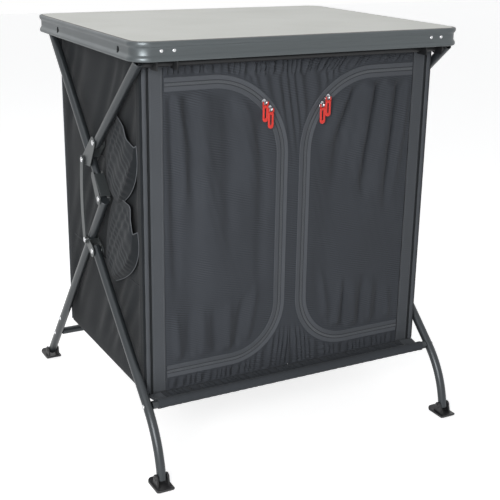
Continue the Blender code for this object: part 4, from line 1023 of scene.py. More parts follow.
@dataclass
class Worktop:
    """The laminate sheet, its board, the aluminium rim, its brackets and the rests."""

    shop: Workshop
    bulge: float = 0.0035
    ledge_depth: float = 0.009
    ledge_thickness: float = 0.0016
    hole_width: float = 0.011
    hole_height: float = 0.012
    hole_insets: tuple[float, float] = (0.0815, 0.1415)
    bracket_inset: float = 0.046
    bracket_half: float = 0.020
    bracket_fall: float = 0.0155
    bracket_sheet: float = 0.0016
    ear_radius: float = 0.0095
    rivet_spacing: float = 0.024
    rivet_rise: float = 0.0012

    def build(self) -> None:
        """Makes every piece of the worktop."""
        self.sheets()
        self.rim()
        for side in Side:
            self.bracket(side)
            self.rest(side)

    def rows(self, stops: Sequence[Place], inset: float = 0.0) -> Array:
        """The worktop's outline, moved inwards by each stop's first number, at its second as height.

        Args:
            stops: the pairs of numbers.
            inset: a distance inwards that all of them share.

        Returns:
            A row of points for each stop.
        """
        at = self.shop.layout
        rows = []
        for more, z in stops:
            past = inset + more
            rows.append(lift(rounded(at.width / 2 - past, at.depth / 2 - past, at.corner - past), z, 2))
        return np.stack(rows)

    def sheets(self) -> None:
        """The laminate, whose rounded edge is dark, and the board under it."""
        at = self.shop.layout
        inset = at.rim_inner + at.gap
        low, high = at.board_top + at.gap, at.height
        edge = ((0.0, low), (0.0, high - 0.0005), (0.00015, high - 0.00015), (0.0005, high))
        patches = [
            Patch(self.rows(edge, inset), ring=True, slot=1),
            Patch(self.rows(((0.0005, high), (0.0012, high)), inset), ring=True, slot=1, towards=(0, 0, 1)),
            Patch(self.rows(((0.0012, low), (0.0012, high)), inset), ring=True, caps=True),
        ]
        kinds = "laminate_grey laminate_edge"
        self.shop.piece("laminate_sheet", patches, kinds, "worktop", "worktop_laminate", "laminate")
        stops = ((0.0004, at.board_bottom), (0, at.board_bottom + 0.0004), (0, at.board_top))
        board = Patch(self.rows(stops, inset), ring=True, caps=True)
        self.shop.piece("board_under", [board], "wood_board", "worktop", "worktop_core", "board")

    def section(self) -> list[Place]:
        """The rim's section as (distance inwards from the outermost face, height).

        Returns:
            Its corners, from the lower outer one round to the lower inner one.
        """
        at = self.shop.layout
        low, high = at.rim_bottom, at.rim_top
        bead_line = (
            (0.0022, 0.0), (0.0009, 0.0006), (0.0002, 0.0020), (0.0, 0.0040), (0.0002, 0.0060),
            (0.0009, 0.0078), (0.0021, 0.0094), (0.0031, 0.0108), (0.0035, 0.0126),
        )
        outside = [(inset, low + rise) for inset, rise in bead_line]
        outside += [(inset, high - rise) for inset, rise in bead_line[::-1]]
        inner = at.rim_inner
        shelf = inner + self.ledge_depth
        top = at.ledge_bottom + self.ledge_thickness
        return [
            *outside, (inner - 0.0003, high), (inner, high - 0.0003), (inner, top), (shelf, top),
            (shelf, at.ledge_bottom), (inner, at.ledge_bottom), (inner, low + 0.0004), (inner - 0.0004, low),
        ]

    def rim(self) -> None:
        """The rim as its section carried round the worktop, with its oval and rivet holes."""
        at = self.shop.layout
        radius = self.hole_width / 2
        top = at.ledge_bottom - at.gap - radius
        front = -at.depth / 2
        cutters = []
        for side in Side:
            reach = sorted((side.value * (at.width / 2 - 0.007), side.value * (at.width / 2 + 0.002)))
            for place in (self.hole_insets[0] - at.depth / 2, at.depth / 2 - self.hole_insets[1]):
                low = (place, top + self.hole_width - self.hole_height)
                cutters.append(slab(stadium(low, (place, top), radius), *reach))
            for rivet in self.rivets(side):
                cutters.append(slab(circle(rivet, 0.0023), front + 0.0015, front + 0.007, 1))
        profile = Patch(self.rows(self.section()), ring=True, loop=True)
        self.shop.piece(
            "rim_profile", [profile], "satin_aluminium", "worktop", "edge_rim", "rim_aluminium", sharp=32,
            cutters=cutters,
        )

    def rivets(self, side: Side) -> list[Place]:
        """The (X, Z) places of one bracket's two rivets, just over the middle of the rim.

        Args:
            side: the side that it is for.

        Returns:
            The two places.
        """
        at = self.shop.layout
        level = (at.rim_bottom + at.rim_top) / 2 + self.rivet_rise
        middle = at.tube_plane - self.bracket_inset
        return [(side.value * (middle + sign * self.rivet_spacing / 2), level) for sign in (-1, 1)]

    def bracket(self, side: Side) -> None:
        """A sheet behind the rim with two rounded ears round the hinge bar, and its rivets.

        Args:
            side: the side that it is for.
        """
        at, node = self.shop.layout, f"front_bracket_{side.word}"
        front = -at.depth / 2 + at.rim_inner + at.gap
        middle = side.value * (at.tube_plane - self.bracket_inset)
        half, sheet, reach = self.bracket_half, self.bracket_sheet, self.ear_radius
        top = at.ledge_bottom - at.gap
        y, z = at.hinge
        corners = np.array([[y + reach, top], [front + sheet / 2, top], [front + sheet / 2, z - reach]])
        ear = np.concatenate([arc(at.hinge, reach, -TURN / 4, 0, 10), corners])
        ears = [slab(ear, x, x + sheet) for x in (middle - half, middle + half - sheet)]
        bore = circle(at.hinge, at.hinge_radius + at.gap, 40)
        bore = slab(bore, middle - half - 0.002, middle + half + 0.002)
        back = box((middle - half, front, top - self.bracket_fall), (middle + half, front + sheet, top))
        thing = self.shop.mesh(f"hinge_bracket_{side.word}", [back])
        self.shop.combine(thing, [(ears, "UNION"), ([bore], "DIFFERENCE")])
        # The bracket takes the near-black coat as painted shadow under the rim.
        thing.data.materials.append(self.shop.finish["coated_dark"])
        change(thing, "BEVEL", width=0.0003, segments=2)
        self.shop.apply(thing, 40)
        self.shop.settle(thing, "worktop", node, "bright_steel")
        groove = -at.depth / 2 + self.bulge
        heads = []
        for rivet in self.rivets(side):
            heads.append(turned(rivet, [(front + sheet / 2, 0.002), (groove + 0.0002, 0.002)], 1))
            heads.append(dome(rivet, groove - 0.0001, -0.0017, 0.0034, 1))
        self.shop.piece(f"rim_rivets_{side.word}", heads, "bright_steel", "worktop", node, "bright_steel")

    def rest(self, side: Side) -> None:
        """The moulded block that a rear tube's top bears against.

        Args:
            side: the side that it is for.
        """
        node = f"rear_rest_{side.word}"
        block = box(*self.shop.node_box(node), 0.002)
        self.shop.piece(
            f"tube_rest_{side.word}", [block], "moulded_black", "worktop", node, "black_plastic", bevel=0.0006
        )


@dataclass
class Stand:
    """The folding tubes, saddle plates, knuckles, lock bars and feet."""

    shop: Workshop
    ear: float = 0.0016
    ear_radius: float = 0.012
    ear_small: float = 0.0095
    web: float = 0.0018
    knuckle_radius: float = 0.0075
    knuckle_length: float = 0.046
    overrun: float = 0.0085
    bar_rise: float = 0.0873
    rivet_rise: float = 0.1558
    head_radius: float = 0.0052
    head_height: float = 0.0014
    pin_radius: float = 0.003
    rivet_reach: float = 0.0021
    bolt_reach: float = 0.0022
    lock_half: float = 0.008
    lock_thick: float = 0.0026
    lock_eye: float = 0.0085
    lock_bow: float = 0.007
    lock_bore: float = 0.0033
    lock_mouth: float = math.radians(151)
    pad_half: Place = (0.018, 0.028)

    def build(self) -> None:
        """Makes every piece of the stand."""
        at = self.shop.layout
        clear = at.tube_plane - at.tube_radius - at.gap
        top = at.upper(self.upper_length() - at.hinge_radius - 0.0025)
        foot = at.lower(at.foot_station - self.bar_rise)
        thin, thick = at.hinge_radius, at.bar_radius
        # The hinge bar takes the near-black coat as painted shadow under the rim.
        self.cross_bar("front_hinge_bar", at.hinge, thin, at.tube_plane, "front_upper_legs", "coated_dark")
        self.cross_bar("rear_upper_bar", top, thin, clear, "rear_upper_legs")
        self.cross_bar("rear_lower_bar", foot, thick, clear, "rear_lower_legs")
        self.cross_bar("front_lower_bar", at.bar, thick, clear, "front_lower_legs")
        for side in Side:
            self.upper_tubes(side)
            self.lower_tubes(side)
            self.upper_plate(side)
            self.knuckle(side)
            self.lower_plate(side)
            self.lock_bar(side)
            self.foot(f"foot_front_{side.word}", side, at.front_foot, 0.001)
            self.foot(f"foot_rear_{side.word}", side, at.lower(at.foot_station), 0.012)

    def upper_length(self) -> float:
        """The station of the rear upper tube's top end.

        Returns:
            The station in metres.
        """
        at = self.shop.layout
        top = at.board_bottom - 2 * at.gap - self.overrun - at.tube_radius * math.cos(at.upper_angle)
        return (top - at.upper(0)[1]) / math.sin(at.upper_angle)

    def cross_bar(
        self, node: str, place: Place, radius: float, reach: float, body: str, kind: str = "coated_tube"
    ) -> None:
        """A hollow bar between the two sides."""
        bar = pipe(space(np.linspace(-reach, reach, 5), *place), radius, self.shop.layout.tube_wall)
        self.shop.piece(f"{node}_tube", [bar], kind, body, node, "tube_coating")

    def leg(
        self,
        node: str,
        side: Side,
        stops: Sequence[Place],
        radii: float | Array,
        body: str,
        extra: Sequence[Patch] = (),
    ) -> None:
        """A hollow tube in one side's plane, with its lug or rivets.

        Args:
            node: the node's name without its side.
            side: the side that it is for.
            stops: the (Y, Z) points of its centre line.
            radii: its outer radius, or one for each stop.
            body: the body that it rides on.
            extra: its lug, plug or rivets.
        """
        at, name = self.shop.layout, f"{node}_{side.word}"
        path = np.array([(side.value * at.tube_plane, *stop) for stop in stops])
        patches = [pipe(path, radii, at.tube_wall, 48), *extra]
        self.shop.piece(f"{name}_pipe", patches, "coated_tube bright_steel", body, name, "tube_coating")

    def upper_tubes(self, side: Side) -> None:
        """The front upper tube, and the rear one with its narrower foot in the knuckle.

        Args:
            side: the side that it is for.
        """
        at = self.shop.layout
        pivot = at.upper_pivot
        lean = math.atan2(pivot[1] - at.hinge[1], pivot[0] - at.hinge[0])
        start, end = along(at.hinge, lean, -self.overrun), along(pivot, lean, self.overrun)
        middle = along(start, lean, math.dist(start, end) / 2)
        self.leg("front_upper_tube", side, [start, middle, end], at.tube_radius, "front_upper_legs")
        taper = at.upper_saddle - 0.015
        steps = ((-0.004, 0), (0, 0.08), (0.003, 0.35), (0.006, 0.65), (0.009, 0.92), (0.014, 1))
        stations = [0.0095, *(taper + step for step, _ in steps), self.upper_length()]
        shares = np.array([0, *(share for _, share in steps), 1])
        radii = self.knuckle_radius + (at.tube_radius - self.knuckle_radius) * shares
        self.leg("rear_upper_tube", side, [at.upper(s) for s in stations], radii, "rear_upper_legs")

    def lower_tubes(self, side: Side) -> None:
        """The rear lower tube with its lug, plug and rivets, and the bent front one with its rivet.

        Args:
            side: the side that it is for.
        """
        at, sign = self.shop.layout, side.value
        face = sign * (at.tube_plane + at.tube_radius - 0.0004)

        def rivet(place: Place) -> Patch:
            """A bright rivet head on a tube's outer side."""
            return dome(place, face, sign * self.rivet_reach, self.head_radius * 0.9, 0, 1)

        lug = capsule(at.knee, at.lower(0, 0.0013), 0.0065, 0.0052)
        plug = np.array([(sign * at.tube_plane, *at.lower(s)) for s in (-0.0058, 0.0, 0.008)])
        extra = [
            slab(lug, sign * (at.tube_plane - 0.006), sign * (at.tube_plane + 0.006)),
            pipe(plug, at.tube_radius - at.tube_wall),
            *(rivet(at.lower(at.foot_station - rise)) for rise in (self.bar_rise, self.rivet_rise)),
        ]
        stops = [at.lower(s) for s in (-0.006, at.foot_station / 2, at.foot_station + 0.005)]
        self.leg("rear_lower_tube", side, stops, at.tube_radius, "rear_lower_legs", extra)
        stops = self.bent_path()
        self.leg("front_lower_tube", side, stops, at.tube_radius, "front_lower_legs", [rivet(at.bar)])

    def bent_path(self) -> list[Place]:
        """The front lower tube's line: straight to the bar, then a curve of three corners.

        Returns:
            The (Y, Z) points of its centre line.
        """
        at = self.shop.layout
        run = math.atan2(at.bar[1] - at.lower_pivot[1], at.bar[0] - at.lower_pivot[0])
        stops = [along(at.lower_pivot, run, -self.overrun), at.lower_pivot]
        for t in np.linspace(0, 1, 25):
            weights = ((1 - t) ** 2, 2 * t * (1 - t), t * t)
            corners = (at.bar, at.bend, at.front_foot)
            stops.append(tuple(sum(w * c[k] for w, c in zip(weights, corners)) for k in (0, 1)))
        down = math.atan2(stops[-1][1] - stops[-2][1], stops[-1][0] - stops[-2][0])
        return [*stops, along(at.front_foot, down, 0.005)]

    def pins(self, side: Side, place: Place, stud: bool = False, both: bool = True) -> list[Patch]:
        """A pin with domed heads, or a stud whose head is outside the lock bar.

        Args:
            side: the side that it is for.
            place: its (Y, Z) place.
            stud: whether it holds the lock bar.
            both: whether it goes through both ears.

        Returns:
            Its patches.
        """
        at, sign = self.shop.layout, side.value
        out = at.tube_plane + at.tube_radius + at.gap + self.ear
        inn = at.tube_plane - at.tube_radius - at.gap - self.ear
        face = self.lock_low() + self.lock_thick + at.gap if stud else out - 0.0001
        start = inn + 0.0005 if both else out - self.ear
        ends = [(sign * start, self.pin_radius), (sign * (face + 0.0003), self.pin_radius)]
        patches = [turned(place, ends)]
        patches.append(dome(place, sign * face, sign * self.head_height, self.head_radius))
        if both and not stud:
            patches.append(dome(place, sign * inn, -sign * self.head_height * 0.62, self.head_radius))
        return patches

    def lock_low(self) -> float:
        """How far out the lock bar's inner face lies."""
        at = self.shop.layout
        return at.tube_plane + at.tube_radius + at.gap + self.ear + self.head_height + 0.0005

    def plate(
        self,
        name: str,
        side: Side,
        body: str,
        outer: Array,
        inner: Array,
        web: Sequence[Place],
        pins: list[Patch],
    ) -> None:
        """A bent plate and its bright pins, as two pieces.

        Args:
            name: the node's name without its side.
            side: the side of the stand.
            body: the body that it rides on.
            outer: the outline of the ear outside the tube.
            inner: the outline of the ear inside the tube.
            web: the outline of the strip that joins the ears.
            pins: its pins.
        """
        at, sign, node = self.shop.layout, side.value, f"{name}_{side.word}"
        out = at.tube_plane + at.tube_radius + at.gap
        inn = at.tube_plane - at.tube_radius - at.gap
        ears = [
            slab(outer, sign * out, sign * (out + self.ear)),
            slab(inner, sign * inn, sign * (inn - self.ear)),
            slab(np.array(web), sign * (inn - self.ear / 2), sign * (out + self.ear / 2)),
        ]
        self.shop.piece(f"{node}_sheet", ears, "coated_plate", body, node, "plate_coating", bevel=0.0004)
        self.shop.piece(f"{node}_pins", pins, "bright_steel", body, node, "plate_coating")

    def upper_plate(self, side: Side) -> None:
        """The saddle on the rear upper tube, whose outer ear also holds the lock bar's stud.

        Args:
            side: the side that it is for.
        """
        at = self.shop.layout
        foot = at.upper(at.upper_saddle)
        low = at.tube_radius + at.gap
        corners = ((-1, low), (1, low), (1, low + self.web), (-1, low + self.web))
        web = [along(foot, at.upper_angle, s * self.ear_small, o) for s, o in corners]
        small = self.ear_small
        ends = ((at.upper_pivot, self.ear_radius), (at.lock_pivot, small), (at.upper(0.078, 0.004), small))
        outer = hull(np.concatenate([circle(place, radius, 48) for place, radius in ends]))
        inner = capsule(at.upper_pivot, foot, self.ear_radius, self.ear_small)
        pins = self.pins(side, at.upper_pivot) + self.pins(side, at.lock_pivot, stud=True, both=False)
        self.plate("upper_plate", side, "rear_upper_legs", outer, inner, web, pins)

    def knuckle(self, side: Side) -> None:
        """The fork that holds the knee pin.

        Args:
            side: the side that it is for.
        """
        at = self.shop.layout
        outline = capsule(at.knee, at.upper(self.knuckle_length), self.ear_radius, self.ear_small)
        low = self.knuckle_radius + at.gap
        start, end, high = -0.005, self.knuckle_length, low + self.web
        web = [at.upper(*corner) for corner in ((start, low), (end, low), (end, high), (start, high))]
        self.plate("knuckle", side, "rear_upper_legs", outline, outline, web, self.pins(side, at.knee))

    def lower_plate(self, side: Side) -> None:
        """The saddle on the rear lower tube, with the bolt that the lock bar hooks on.

        Args:
            side: the side that it is for.
        """
        at = self.shop.layout
        outline = capsule(at.lock_pin, at.lower_pivot, self.ear_small, self.ear_radius)
        low = -at.tube_radius - at.gap
        start, end, high = at.lower_saddle - self.ear_small, at.lower_saddle + self.ear_small, low - self.web
        web = [at.lower(*corner) for corner in ((start, low), (end, low), (end, high), (start, high))]
        pins = self.pins(side, at.lower_pivot) + self.pins(side, at.lock_pin, stud=True)
        self.plate("lower_plate", side, "rear_lower_legs", outline, outline, web, pins)

    def lock_bar(self, side: Side) -> None:
        """The bowed bar with an eye at its top and a hook at its foot.

        Args:
            side: the side that it is for.
        """
        at, sign, node = self.shop.layout, side.value, f"lock_bar_{side.word}"
        span = math.dist(at.lock_pivot, at.lock_pin)
        down = math.atan2(at.lock_pin[1] - at.lock_pivot[1], at.lock_pin[0] - at.lock_pivot[0])
        stations = np.concatenate([
            -self.lock_eye * np.cos(np.linspace(0, 0.30, 10) * math.pi),
            np.linspace(0, span, 49),
            span + self.lock_eye * np.cos(np.linspace(0.30, 0, 10) * math.pi),
        ])
        bow = self.lock_bow * np.sin(np.clip(stations / span, 0, 1) * math.pi)
        eyes = [np.sqrt(np.clip(self.lock_eye**2 - (stations - end) ** 2, 0, None)) for end in (0, span)]
        inside = (stations >= 0) & (stations <= span)
        half = np.maximum.reduce([*eyes, np.where(inside, self.lock_half, 0.0)])
        upper, under = (
            [along(at.lock_pivot, down, *stop) for stop in zip(stations, bow + way * half)] for way in (1, -1)
        )
        outline = np.array(upper + under[::-1][1:-1])
        low, high = self.lock_low(), self.lock_low() + self.lock_thick
        bore, reach = self.lock_bore, 2 * self.lock_eye
        corners = ((0, -bore), (reach, -bore), (reach, bore), (0, bore))
        mouth = np.array([along(at.lock_pin, self.lock_mouth, *corner) for corner in corners])
        cutters = [
            slab(shape, sign * (low - 0.002), sign * (high + 0.002))
            for shape in (mouth, circle(at.lock_pin, bore), circle(at.lock_pivot, bore))
        ]
        strip = slab(outline, sign * low, sign * high)
        self.shop.piece(
            f"{node}_strip", [strip], "coated_plate", node, node, "plate_coating", bevel=0.0004, sharp=35,
            cutters=cutters,
        )

    def foot(self, node: str, side: Side, hinge: Place, shift: float) -> None:
        """A curved pad with two ears and a bolt across the leg.

        The pad is a set of rounded rectangles, shrinking to its middle below and above, raised
        by a curl that grows with the square of the way past its flat part.

        Args:
            node: the node's name.
            side: the side that it is for.
            hinge: the (Y, Z) place of its bolt.
            shift: how far the pad's middle lies behind the bolt.
        """
        at = self.shop.layout
        (half_wide, half_long), thick = self.pad_half, 0.0055
        centre = side.value * at.tube_plane
        stops = (
            (0.05, 0), (0.5, 0), (0.93, 0), (0.985, 0.0006), (1.0, 0.0018), (1.0, 0.0034), (0.985, 0.0048),
            (0.93, thick), (0.5, thick), (0.05, thick),
        )
        rows = []
        for scale, z in stops:
            x, y = rounded(half_wide * scale, half_long * scale, 0.008 * scale, 10).T
            past = np.clip((np.abs(y) - 0.017) / 0.011, 0, 1)
            rows.append(space(x + centre, y + (hinge[0] + shift), z + 0.004 * past**2))
        pad = Patch(np.stack(rows), ring=True, caps=True)
        shoulder = np.array([[hinge[0] - 0.0125, 0.0035], [hinge[0] + 0.0125, 0.0035]])
        ear = np.concatenate([arc(hinge, 0.008, 0, math.pi, 20), shoulder])
        inner = at.tube_radius + at.gap
        outer = inner + 0.004
        ears = [slab(ear, centre + sign * inner, centre + sign * outer) for sign in (-1, 1)]
        bolt = [turned(hinge, [(centre - outer, self.pin_radius), (centre + outer, self.pin_radius)])]
        for sign in (-1, 1):
            bolt.append(dome(hinge, centre + sign * outer, sign * self.bolt_reach, self.head_radius))
        finish = ("moulded_black", node, node, "black_plastic")
        self.shop.piece(f"{node}_pad", [pad, *ears], *finish, bevel=0.0007, sharp=50)
        self.shop.piece(f"{node}_bolt", bolt, *finish)


@dataclass(frozen=True)
class Fold:
    """One fold of a cloth: a line of (X, Z) points from its upper end, its width and its height.

    The height is towards the front where it is positive.
    """

    line: tuple[Place, ...]
    width: float
    height: float
    fade_top: float = 0.03
    fade_foot: float = 0.10

    def raised(self, x: Array, z: Array) -> Array:
        """How far the fold stands out at each place: a bell across its line, faded at its ends.

        Args:
            x: the places' distances along X.
            z: their heights.

        Returns:
            The distances.
        """
        xs, zs = zip(*sorted(self.line, key=lambda place: place[1]))
        middle = np.interp(z, zs, xs)
        lean = (xs[-1] - xs[0]) / max(zs[-1] - zs[0], 1e-6)
        middle = np.where(z > zs[-1], xs[-1] + lean * (z - zs[-1]), middle)
        middle = np.where(z < zs[0], xs[0] + lean * 0.5 * (z - zs[0]), middle)
        top = smooth((zs[-1] + self.fade_top - z) / self.fade_top)
        foot = smooth((z - zs[0] + self.fade_foot) / self.fade_foot)
        return self.height * np.exp(-(((x - middle) / self.width) ** 2)) * top * foot


RIGHT_FOLDS = (
    Fold(((0.124, 0.715), (0.088, 0.638)), 0.013, 0.0050, fade_foot=0.06),
    Fold(((0.142, 0.722), (0.110, 0.622), (0.105, 0.576)), 0.011, -0.0050),
    Fold(((0.173, 0.720), (0.160, 0.623), (0.151, 0.581)), 0.014, 0.0058),
    Fold(((0.197, 0.725), (0.178, 0.598), (0.172, 0.551)), 0.012, -0.0055),
    Fold(((0.221, 0.722), (0.211, 0.609), (0.204, 0.56)), 0.013, 0.0052),
    Fold(((0.248, 0.722), (0.233, 0.583), (0.228, 0.53)), 0.011, -0.0050),
    Fold(((0.272, 0.700), (0.245, 0.568)), 0.010, 0.0035, fade_foot=0.12),
    Fold(((0.081, 0.290), (0.086, 0.250)), 0.008, 0.0026, 0.07, 0.03),
    Fold(((0.117, 0.262), (0.112, 0.215)), 0.008, 0.0034, 0.06, 0.02),
    Fold(((0.132, 0.268), (0.134, 0.208)), 0.007, -0.0034, 0.06, 0.02),
    Fold(((0.154, 0.255), (0.156, 0.205)), 0.009, 0.0036, 0.07, 0.02),
    Fold(((0.178, 0.262), (0.176, 0.202)), 0.008, -0.0030, 0.06, 0.02),
    Fold(((0.197, 0.258), (0.194, 0.200)), 0.009, 0.0034, 0.06, 0.02),
    Fold(((0.219, 0.250), (0.219, 0.200)), 0.007, -0.0026, 0.05, 0.02),
    Fold(((0.242, 0.240), (0.245, 0.200)), 0.009, 0.0030, 0.05, 0.02),
    Fold(((0.200, 0.52), (0.150, 0.36), (0.140, 0.30)), 0.040, 0.0022, 0.15, 0.12),
    Fold(((0.090, 0.50), (0.080, 0.34)), 0.026, -0.0020, 0.12, 0.12),
)
LEFT_FOLDS = (
    Fold(((-0.263, 0.714), (-0.255, 0.572), (-0.251, 0.462)), 0.010, -0.0042, fade_foot=0.16),
    Fold(((-0.246, 0.712), (-0.236, 0.600)), 0.011, 0.0030, fade_foot=0.14),
    Fold(((-0.227, 0.719), (-0.213, 0.611), (-0.213, 0.568)), 0.012, -0.0040, fade_foot=0.16),
    Fold(((-0.195, 0.719), (-0.190, 0.587)), 0.017, 0.0032, fade_foot=0.18),
    Fold(((-0.143, 0.712), (-0.138, 0.626), (-0.140, 0.50)), 0.016, -0.0034, fade_foot=0.14),
    Fold(((-0.105, 0.690), (-0.096, 0.600)), 0.016, 0.0028, fade_foot=0.16),
    Fold(((-0.076, 0.640), (-0.066, 0.560), (-0.070, 0.40)), 0.012, -0.0022, fade_foot=0.12),
    Fold(((-0.160, 0.48), (-0.175, 0.34)), 0.045, 0.0024, 0.12, 0.12),
    Fold(((-0.225, 0.46), (-0.215, 0.30)), 0.026, -0.0026, 0.10, 0.08),
    Fold(((-0.250, 0.250), (-0.248, 0.200)), 0.009, 0.0030, 0.06, 0.02),
    Fold(((-0.222, 0.255), (-0.224, 0.200)), 0.009, -0.0030, 0.06, 0.02),
    Fold(((-0.196, 0.258), (-0.192, 0.200)), 0.010, 0.0032, 0.07, 0.02),
    Fold(((-0.168, 0.255), (-0.164, 0.200)), 0.009, -0.0030, 0.06, 0.02),
    Fold(((-0.140, 0.260), (-0.142, 0.208)), 0.010, 0.0034, 0.06, 0.02),
    Fold(((-0.112, 0.265), (-0.120, 0.215)), 0.008, -0.0028, 0.06, 0.02),
    Fold(((-0.086, 0.285), (-0.096, 0.235)), 0.009, 0.0028, 0.06, 0.03),
)


POCKET_LEAN = 0.045
POCKET_STOPS = (0.0, 0.22, 0.4, 0.6, 1.0)
POCKETS = {
    "side_pocket_upper": (
        (
            (-0.1200, 0.498, 0), (-0.1134, 0.500, 0.004), (-0.095, 0.503, 0.004), (-0.075, 0.508, 0.002),
            (-0.0475, 0.515, 0),
        ),
        (
            (-0.1960, 0.556, 0), (-0.1828, 0.560, 0.012), (-0.150, 0.568, 0.010), (-0.110, 0.580, 0.006),
            (-0.050, 0.600, 0),
        ),
        (
            (-0.2035, 0.6275, 0), (-0.2000, 0.623, 0.003), (-0.172, 0.634, 0.007), (-0.150, 0.655, 0.004),
            (-0.090, 0.675, 0),
        ),
    ),
    "side_pocket_lower": (
        (
            (-0.0850, 0.331, 0), (-0.0674, 0.333, 0.002), (-0.055, 0.336, 0.002), (-0.045, 0.340, 0.001),
            (-0.030, 0.350, 0),
        ),
        (
            (-0.1900, 0.393, 0), (-0.1727, 0.400, 0.012), (-0.145, 0.408, 0.010), (-0.110, 0.420, 0.006),
            (-0.045, 0.440, 0),
        ),
        (
            (-0.2035, 0.4645, 0), (-0.1888, 0.4561, 0.005), (-0.186, 0.482, 0.007), (-0.178, 0.508, 0.004),
            (-0.090, 0.512, 0),
        ),
    ),
}


@dataclass
class DoorEdge:
    """The line that a zip follows on the right-hand door; the left mirrors it.

    steps are the points on its top, upper corner, upright, lower corner and foot.
    """

    top: float = 0.737
    bottom: float = 0.180
    inner: float = 0.0255
    upper_radius: float = 0.150
    lower_radius: float = 0.108
    hinge: float = 0.2747
    steps: tuple[int, ...] = (24, 72, 76, 54, 40)

    def path(self, inset: float, start: float) -> Array:
        """Points (X, Z) from the hinge's top along the free edge to its foot.

        Args:
            inset: how far the line is moved into the door.
            start: the distance from the middle at which it starts and ends.

        Returns:
            The points, as many for every inset.
        """
        inner, top, bottom = self.inner + inset, self.top - inset, self.bottom + inset
        steps = self.steps
        high, low = self.upper_radius - inset, self.lower_radius - inset
        runs = [
            self.run((start, top), (inner + high, top), steps[0]),
            arc((inner + high, top - high), high, TURN / 4, TURN / 2, steps[1])[:-1],
            self.run((inner, top - high), (inner, bottom + low), steps[2]),
            arc((inner + low, bottom + low), low, TURN / 2, TURN * 0.75, steps[3])[:-1],
            self.run((inner + low, bottom), (start, bottom), steps[4]),
            np.array([[start, bottom]]),
        ]
        return np.concatenate(runs)

    @staticmethod
    def run(first: Place, last: Place, steps: int) -> Array:
        """Even points from one place to another, without the last."""
        return np.linspace(first, last, steps + 1)[:-1]


